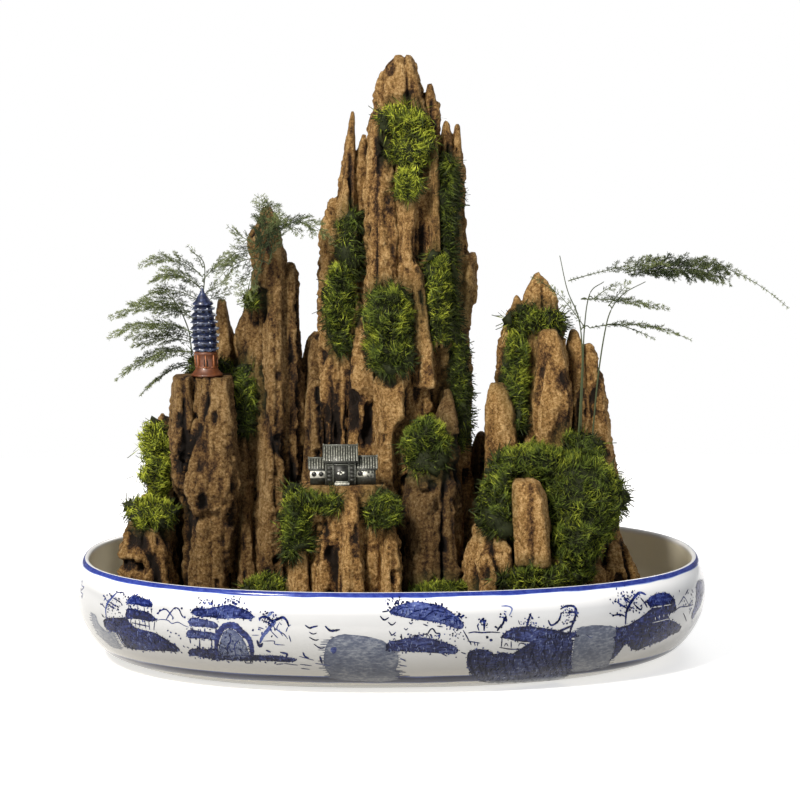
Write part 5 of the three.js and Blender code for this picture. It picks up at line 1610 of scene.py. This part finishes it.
for quarter in range(4):
    face_distance = 7.0 * math.cos(math.pi / 8)
    plate = np.array([[face_distance + 0.12, a, b] for a, b in door] + [[face_distance - 0.5, a, b] for a, b in door])
    count = len(door)
    plate_faces = [[0, i, i + 1] for i in range(1, count - 1)]
    plate_faces += [[i, i + count, (i + 1) % count + count] for i in range(count)]
    plate_faces += [[i, (i + 1) % count + count, (i + 1) % count] for i in range(count)]
    clay_parts.append(turned((plate, np.array(plate_faces), 0.0), quarter * math.pi / 2 - math.pi / 2))
placed_pagoda(clay_parts, "pagoda_foot", orange_clay, ["pagoda"])

glaze_parts = []
for tier in range(PAGODA_TIERS):
    foot = TOWER_FOOT + tier * TIER_RISE
    eave = EAVES[tier]
    body = eave - 1.5
    glaze_parts.append((*eight_rings([(foot - 0.9, body, 0, 0), (foot + 2.9, body - 0.1, 0, 0)]), 0.5))
    eave_rows = [
        (foot + 1.9, body - 0.2, 0, 0), (foot + 1.0, eave - 0.7, 0.01, 0.1), (foot + 0.7, eave, 0.02, 0.25),
        (foot + 1.15, eave + 0.05, 0.02, 0.3),
    ]
    glaze_parts.append((*eight_rings(eave_rows), 0.62))
    roof_rows = [
        (foot + 1.15, eave + 0.05, 0.02, 0.3), (foot + 1.7, eave - 0.5, 0.01, 0.1), (foot + 2.4, eave - 1.2, 0, 0.1),
        (foot + 2.9, body - 0.3, 0, 0),
    ]
    glaze_parts.append((*eight_rings(roof_rows), 0.22))
    for i in range(8):
        glaze_parts.append(turned(box_part((body * 0.9, -0.8, foot - 1.2), (body * 0.935, 0.8, foot + 0.3), 0.05), i * math.pi / 4 + math.pi / 4))
    for i in range(8):
        rib = box_part((body * 0.9, -0.22, foot + 1.3), (eave * 1.04, 0.22, foot + 2.0), 0.95)
        glaze_parts.append(turned(rib, i * math.pi / 4 + math.pi / 8))
roof = TOWER_FOOT + PAGODA_TIERS * TIER_RISE
spire_rows = [
    (roof - 1.2, 4.9, 0, 0), (roof - 0.3, 6.8, 0.03, 0.2), (roof + 0.3, 6.8, 0.03, 0.2), (roof + 2.0, 5.2, 0.01, 0),
    (roof + 4.0, 3.9, 0, 0), (roof + 6.0, 2.6, 0, 0), (roof + 7.4, 1.5, 0, 0), (roof + 7.9, 1.7, 0, 0),
    (roof + 8.5, 1.0, 0, 0), (roof + 9.1, 1.1, 0, 0), (roof + 10.8, 0.1, 0, 0),
]
glaze_parts.append((*eight_rings(spire_rows), 0.4))
placed_pagoda(glaze_parts, "pagoda_tower", blue_glaze, ["pagoda"])
print("pagoda parts:", len(clay_parts) + len(glaze_parts))

# %% [markdown]
# ## The house
#
# The house is a small casting of soft grey metal, a tall hall between two low wings. Its roofs have
# rows of half-round tiles, its walls were rubbed with white, and dark paint sits in the hollows.
# The tiles are real ribs here, because their edges catch the light as dotted lines.

# %% House
HOUSE_SEAT = 119.3
pewter = figure_material(
    "pewter",
    [(0.0, (0.004, 0.004, 0.004)), (0.3, (0.022, 0.023, 0.018)), (0.6, (0.085, 0.09, 0.075)),
     (0.8, (0.36, 0.36, 0.31)), (1.0, (0.70, 0.70, 0.63))],
    0.5, 900, 0.7, 0.05,
)


def roof_part(left, right, front, back, eave, ridge, tone):
    """A gable roof as a thick bent sheet"""
    middle = (front + back) / 2
    outline = [(front, eave), (back, eave), (back, eave + 0.8), (middle, ridge), (front, eave + 0.8)]
    points = np.array([[x, y, z] for x in (left, right) for y, z in outline])
    faces = [[0, 2, 1], [0, 3, 2], [0, 4, 3], [5, 6, 7], [5, 7, 8], [5, 8, 9]]
    for i in range(5):
        a, b = i, (i + 1) % 5
        faces += [[a, b, b + 5], [a, b + 5, a + 5]]
    return points, np.array(faces), tone


def tile_row(x, width, front, back, eave, ridge, tone):
    """One row of half-round tiles over both slopes of a roof"""
    middle = (front + back) / 2
    path = [(front - 0.15, eave + 0.75), (middle, ridge), (back + 0.15, eave + 0.75)]
    points, faces = [], []
    for y, z in path:
        points += [[x - width / 2, y, z], [x - width * 0.3, y, z + 0.42], [x + width * 0.3, y, z + 0.42], [x + width / 2, y, z]]
    for row in range(2):
        for i in range(4):
            a, b = row * 4 + i, row * 4 + (i + 1) % 4
            faces += [[a, a + 4, b], [b, a + 4, b + 4]]
    faces += [[0, 1, 2], [0, 2, 3], [8, 10, 9], [8, 11, 10]]
    return np.array(points), np.array(faces), tone


def disc_part(x, z, radius, front, depth, tone, sides=14):
    """A round plate on a front wall"""
    turn = np.arange(sides) / sides * 2 * math.pi
    ring = np.stack([x + np.cos(turn) * radius, np.full(sides, front), z + np.sin(turn) * radius], axis=1)
    back = ring + np.array([0, depth, 0])
    faces = [[0, i, i + 1] for i in range(1, sides - 1)]
    for i in range(sides):
        j = (i + 1) % sides
        faces += [[i, i + sides, j + sides], [i, j + sides, j]]
    return np.concatenate([ring, back]), np.array(faces), tone


def hall(left, right, front, back, eave, ridge, wall_tone):
    """Walls, roof, tiles, ridge beam and eave board of one block"""
    foot = HOUSE_SEAT
    parts = [box_part((left, front, foot), (right, back, foot + eave + 0.5), wall_tone)]
    parts.append(roof_part(left - 0.9, right + 0.9, front - 0.9, back + 0.9, foot + eave, foot + ridge - 0.8, 0.25))
    count = int((right - left + 1.6) / 1.45)
    for x in np.linspace(left - 0.4, right + 0.4, count):
        parts.append(tile_row(x, 0.8, front - 0.9, back + 0.9, foot + eave, foot + ridge - 0.8, 0.66))
    middle = (front + back) / 2
    parts.append(box_part((left - 0.9, middle - 0.5, foot + ridge - 0.9), (right + 0.9, middle + 0.5, foot + ridge + 0.1), 0.55))
    for end in (left - 0.9, right + 0.9):
        parts.append(box_part((end - 0.35, middle - 0.6, foot + ridge - 0.9), (end + 0.35, middle + 0.6, foot + ridge + 0.5), 0.6))
        parts.append(tile_row(end, 0.9, front - 1.0, back + 1.0, foot + eave, foot + ridge - 0.7, 0.5))
    parts.append(box_part((left - 1.0, front - 1.05, foot + eave - 0.3), (right + 1.0, front - 0.6, foot + eave + 0.5), 0.3))
    return parts


foot = HOUSE_SEAT
house_parts = hall(-43, -23.7, -69, -55, 14.4, 24.4, 0.3)
house_parts += hall(-52.2, -43, -67.5, -56, 9.4, 16.4, 0.32)
house_parts += hall(-23.7, -11.4, -67.5, -56, 9.4, 17.4, 0.3)
for x in (-42.4, -37.9, -28.1, -24.3):
    house_parts.append(box_part((x - 0.35, -69.4, foot), (x + 0.35, -68.8, foot + 14.4), 0.5))
house_parts.append(box_part((-42.6, -69.4, foot + 12.4), (-24.1, -68.8, foot + 13.1), 0.45))
house_parts.append(box_part((-37.6, -69.2, foot + 1.6), (-28.4, -68.8, foot + 12.0), 0.12))
for x, z, size in ((-34.6, 7.3, 0.75), (-33.1, 6.7, 0.6), (-31.6, 7.6, 0.75), (-32.6, 8.3, 0.45)):
    house_parts.append(disc_part(x, foot + z, size, -69.5, 0.5, 0.95, 6))
for x in (-40.2, -26.2):
    for z in (2.2, 4.6, 7.0, 9.4):
        house_parts.append(box_part((x - 1.5, -69.3, foot + z), (x + 1.5, -68.9, foot + z + 1.7), 0.22))
house_parts.append(box_part((-37.0, -72, foot), (-28, -68, foot + 1.6), 0.8))
house_parts.append(box_part((-36.2, -70.8, foot + 1.6), (-28.8, -68.4, foot + 2.4), 0.72))
house_parts.append(box_part((-52.3, -67.9, foot + 4.2), (-42.8, -67.4, foot + 9.2), 1.0))
for x in (-49.8, -45.4):
    house_parts.append(disc_part(x, foot + 6.7, 1.55, -68.05, 0.5, 0.02))
house_parts.append(box_part((-23.6, -67.9, foot + 4.6), (-12.6, -67.4, foot + 9.2), 0.72))
house_parts += [disc_part(-21.2, foot + 7.0, 1.6, -68.05, 0.6, 0.02), disc_part(-18.0, foot + 6.6, 1.5, -68.0, 0.6, 1.0)]
for x, z, size in ((-15.8, 7.9, 0.8), (-14.2, 5.4, 0.8), (-16.4, 5.2, 0.6), (-13.4, 7.6, 0.7)):
    house_parts.append(disc_part(x, foot + z, size, -68.0, 0.5, 0.3, 5))
points, faces, tones = joined(house_parts)
mesh = mesh_from("house_casting", points, faces)
add_attribute(mesh, "tone", tones)
new_object("house_cast", mesh, pewter, ["house"])
print("house parts:", len(house_parts))

# %% [markdown]
# ## Floor
#
# The landscape stands on a plain pale sheet, which catches its shadow and nothing else. It glows
# faintly, so that it is as white as the room behind it and has no edge in the picture.

# %% Floor
def floor_material():
    material, tree, shader = node_tree("floor")
    shader.inputs["Base Color"].default_value = (0.85, 0.85, 0.85, 1)
    shader.inputs["Roughness"].default_value = 0.9
    shader.inputs["Specular IOR Level"].default_value = 0.1
    shader.inputs["Emission Color"].default_value = (1, 1, 1, 1)
    shader.inputs["Emission Strength"].default_value = 0.6
    return material


floor_mesh = mesh_from("floor", [[-1200, -1200, 0], [1200, -1200, 0], [1200, 900, 0], [-1200, 900, 0]], [[0, 1, 2, 3]])
floor_mesh.materials.append(floor_material())
floor = bpy.data.objects.new("floor", floor_mesh)
bpy.context.scene.collection.objects.link(floor)
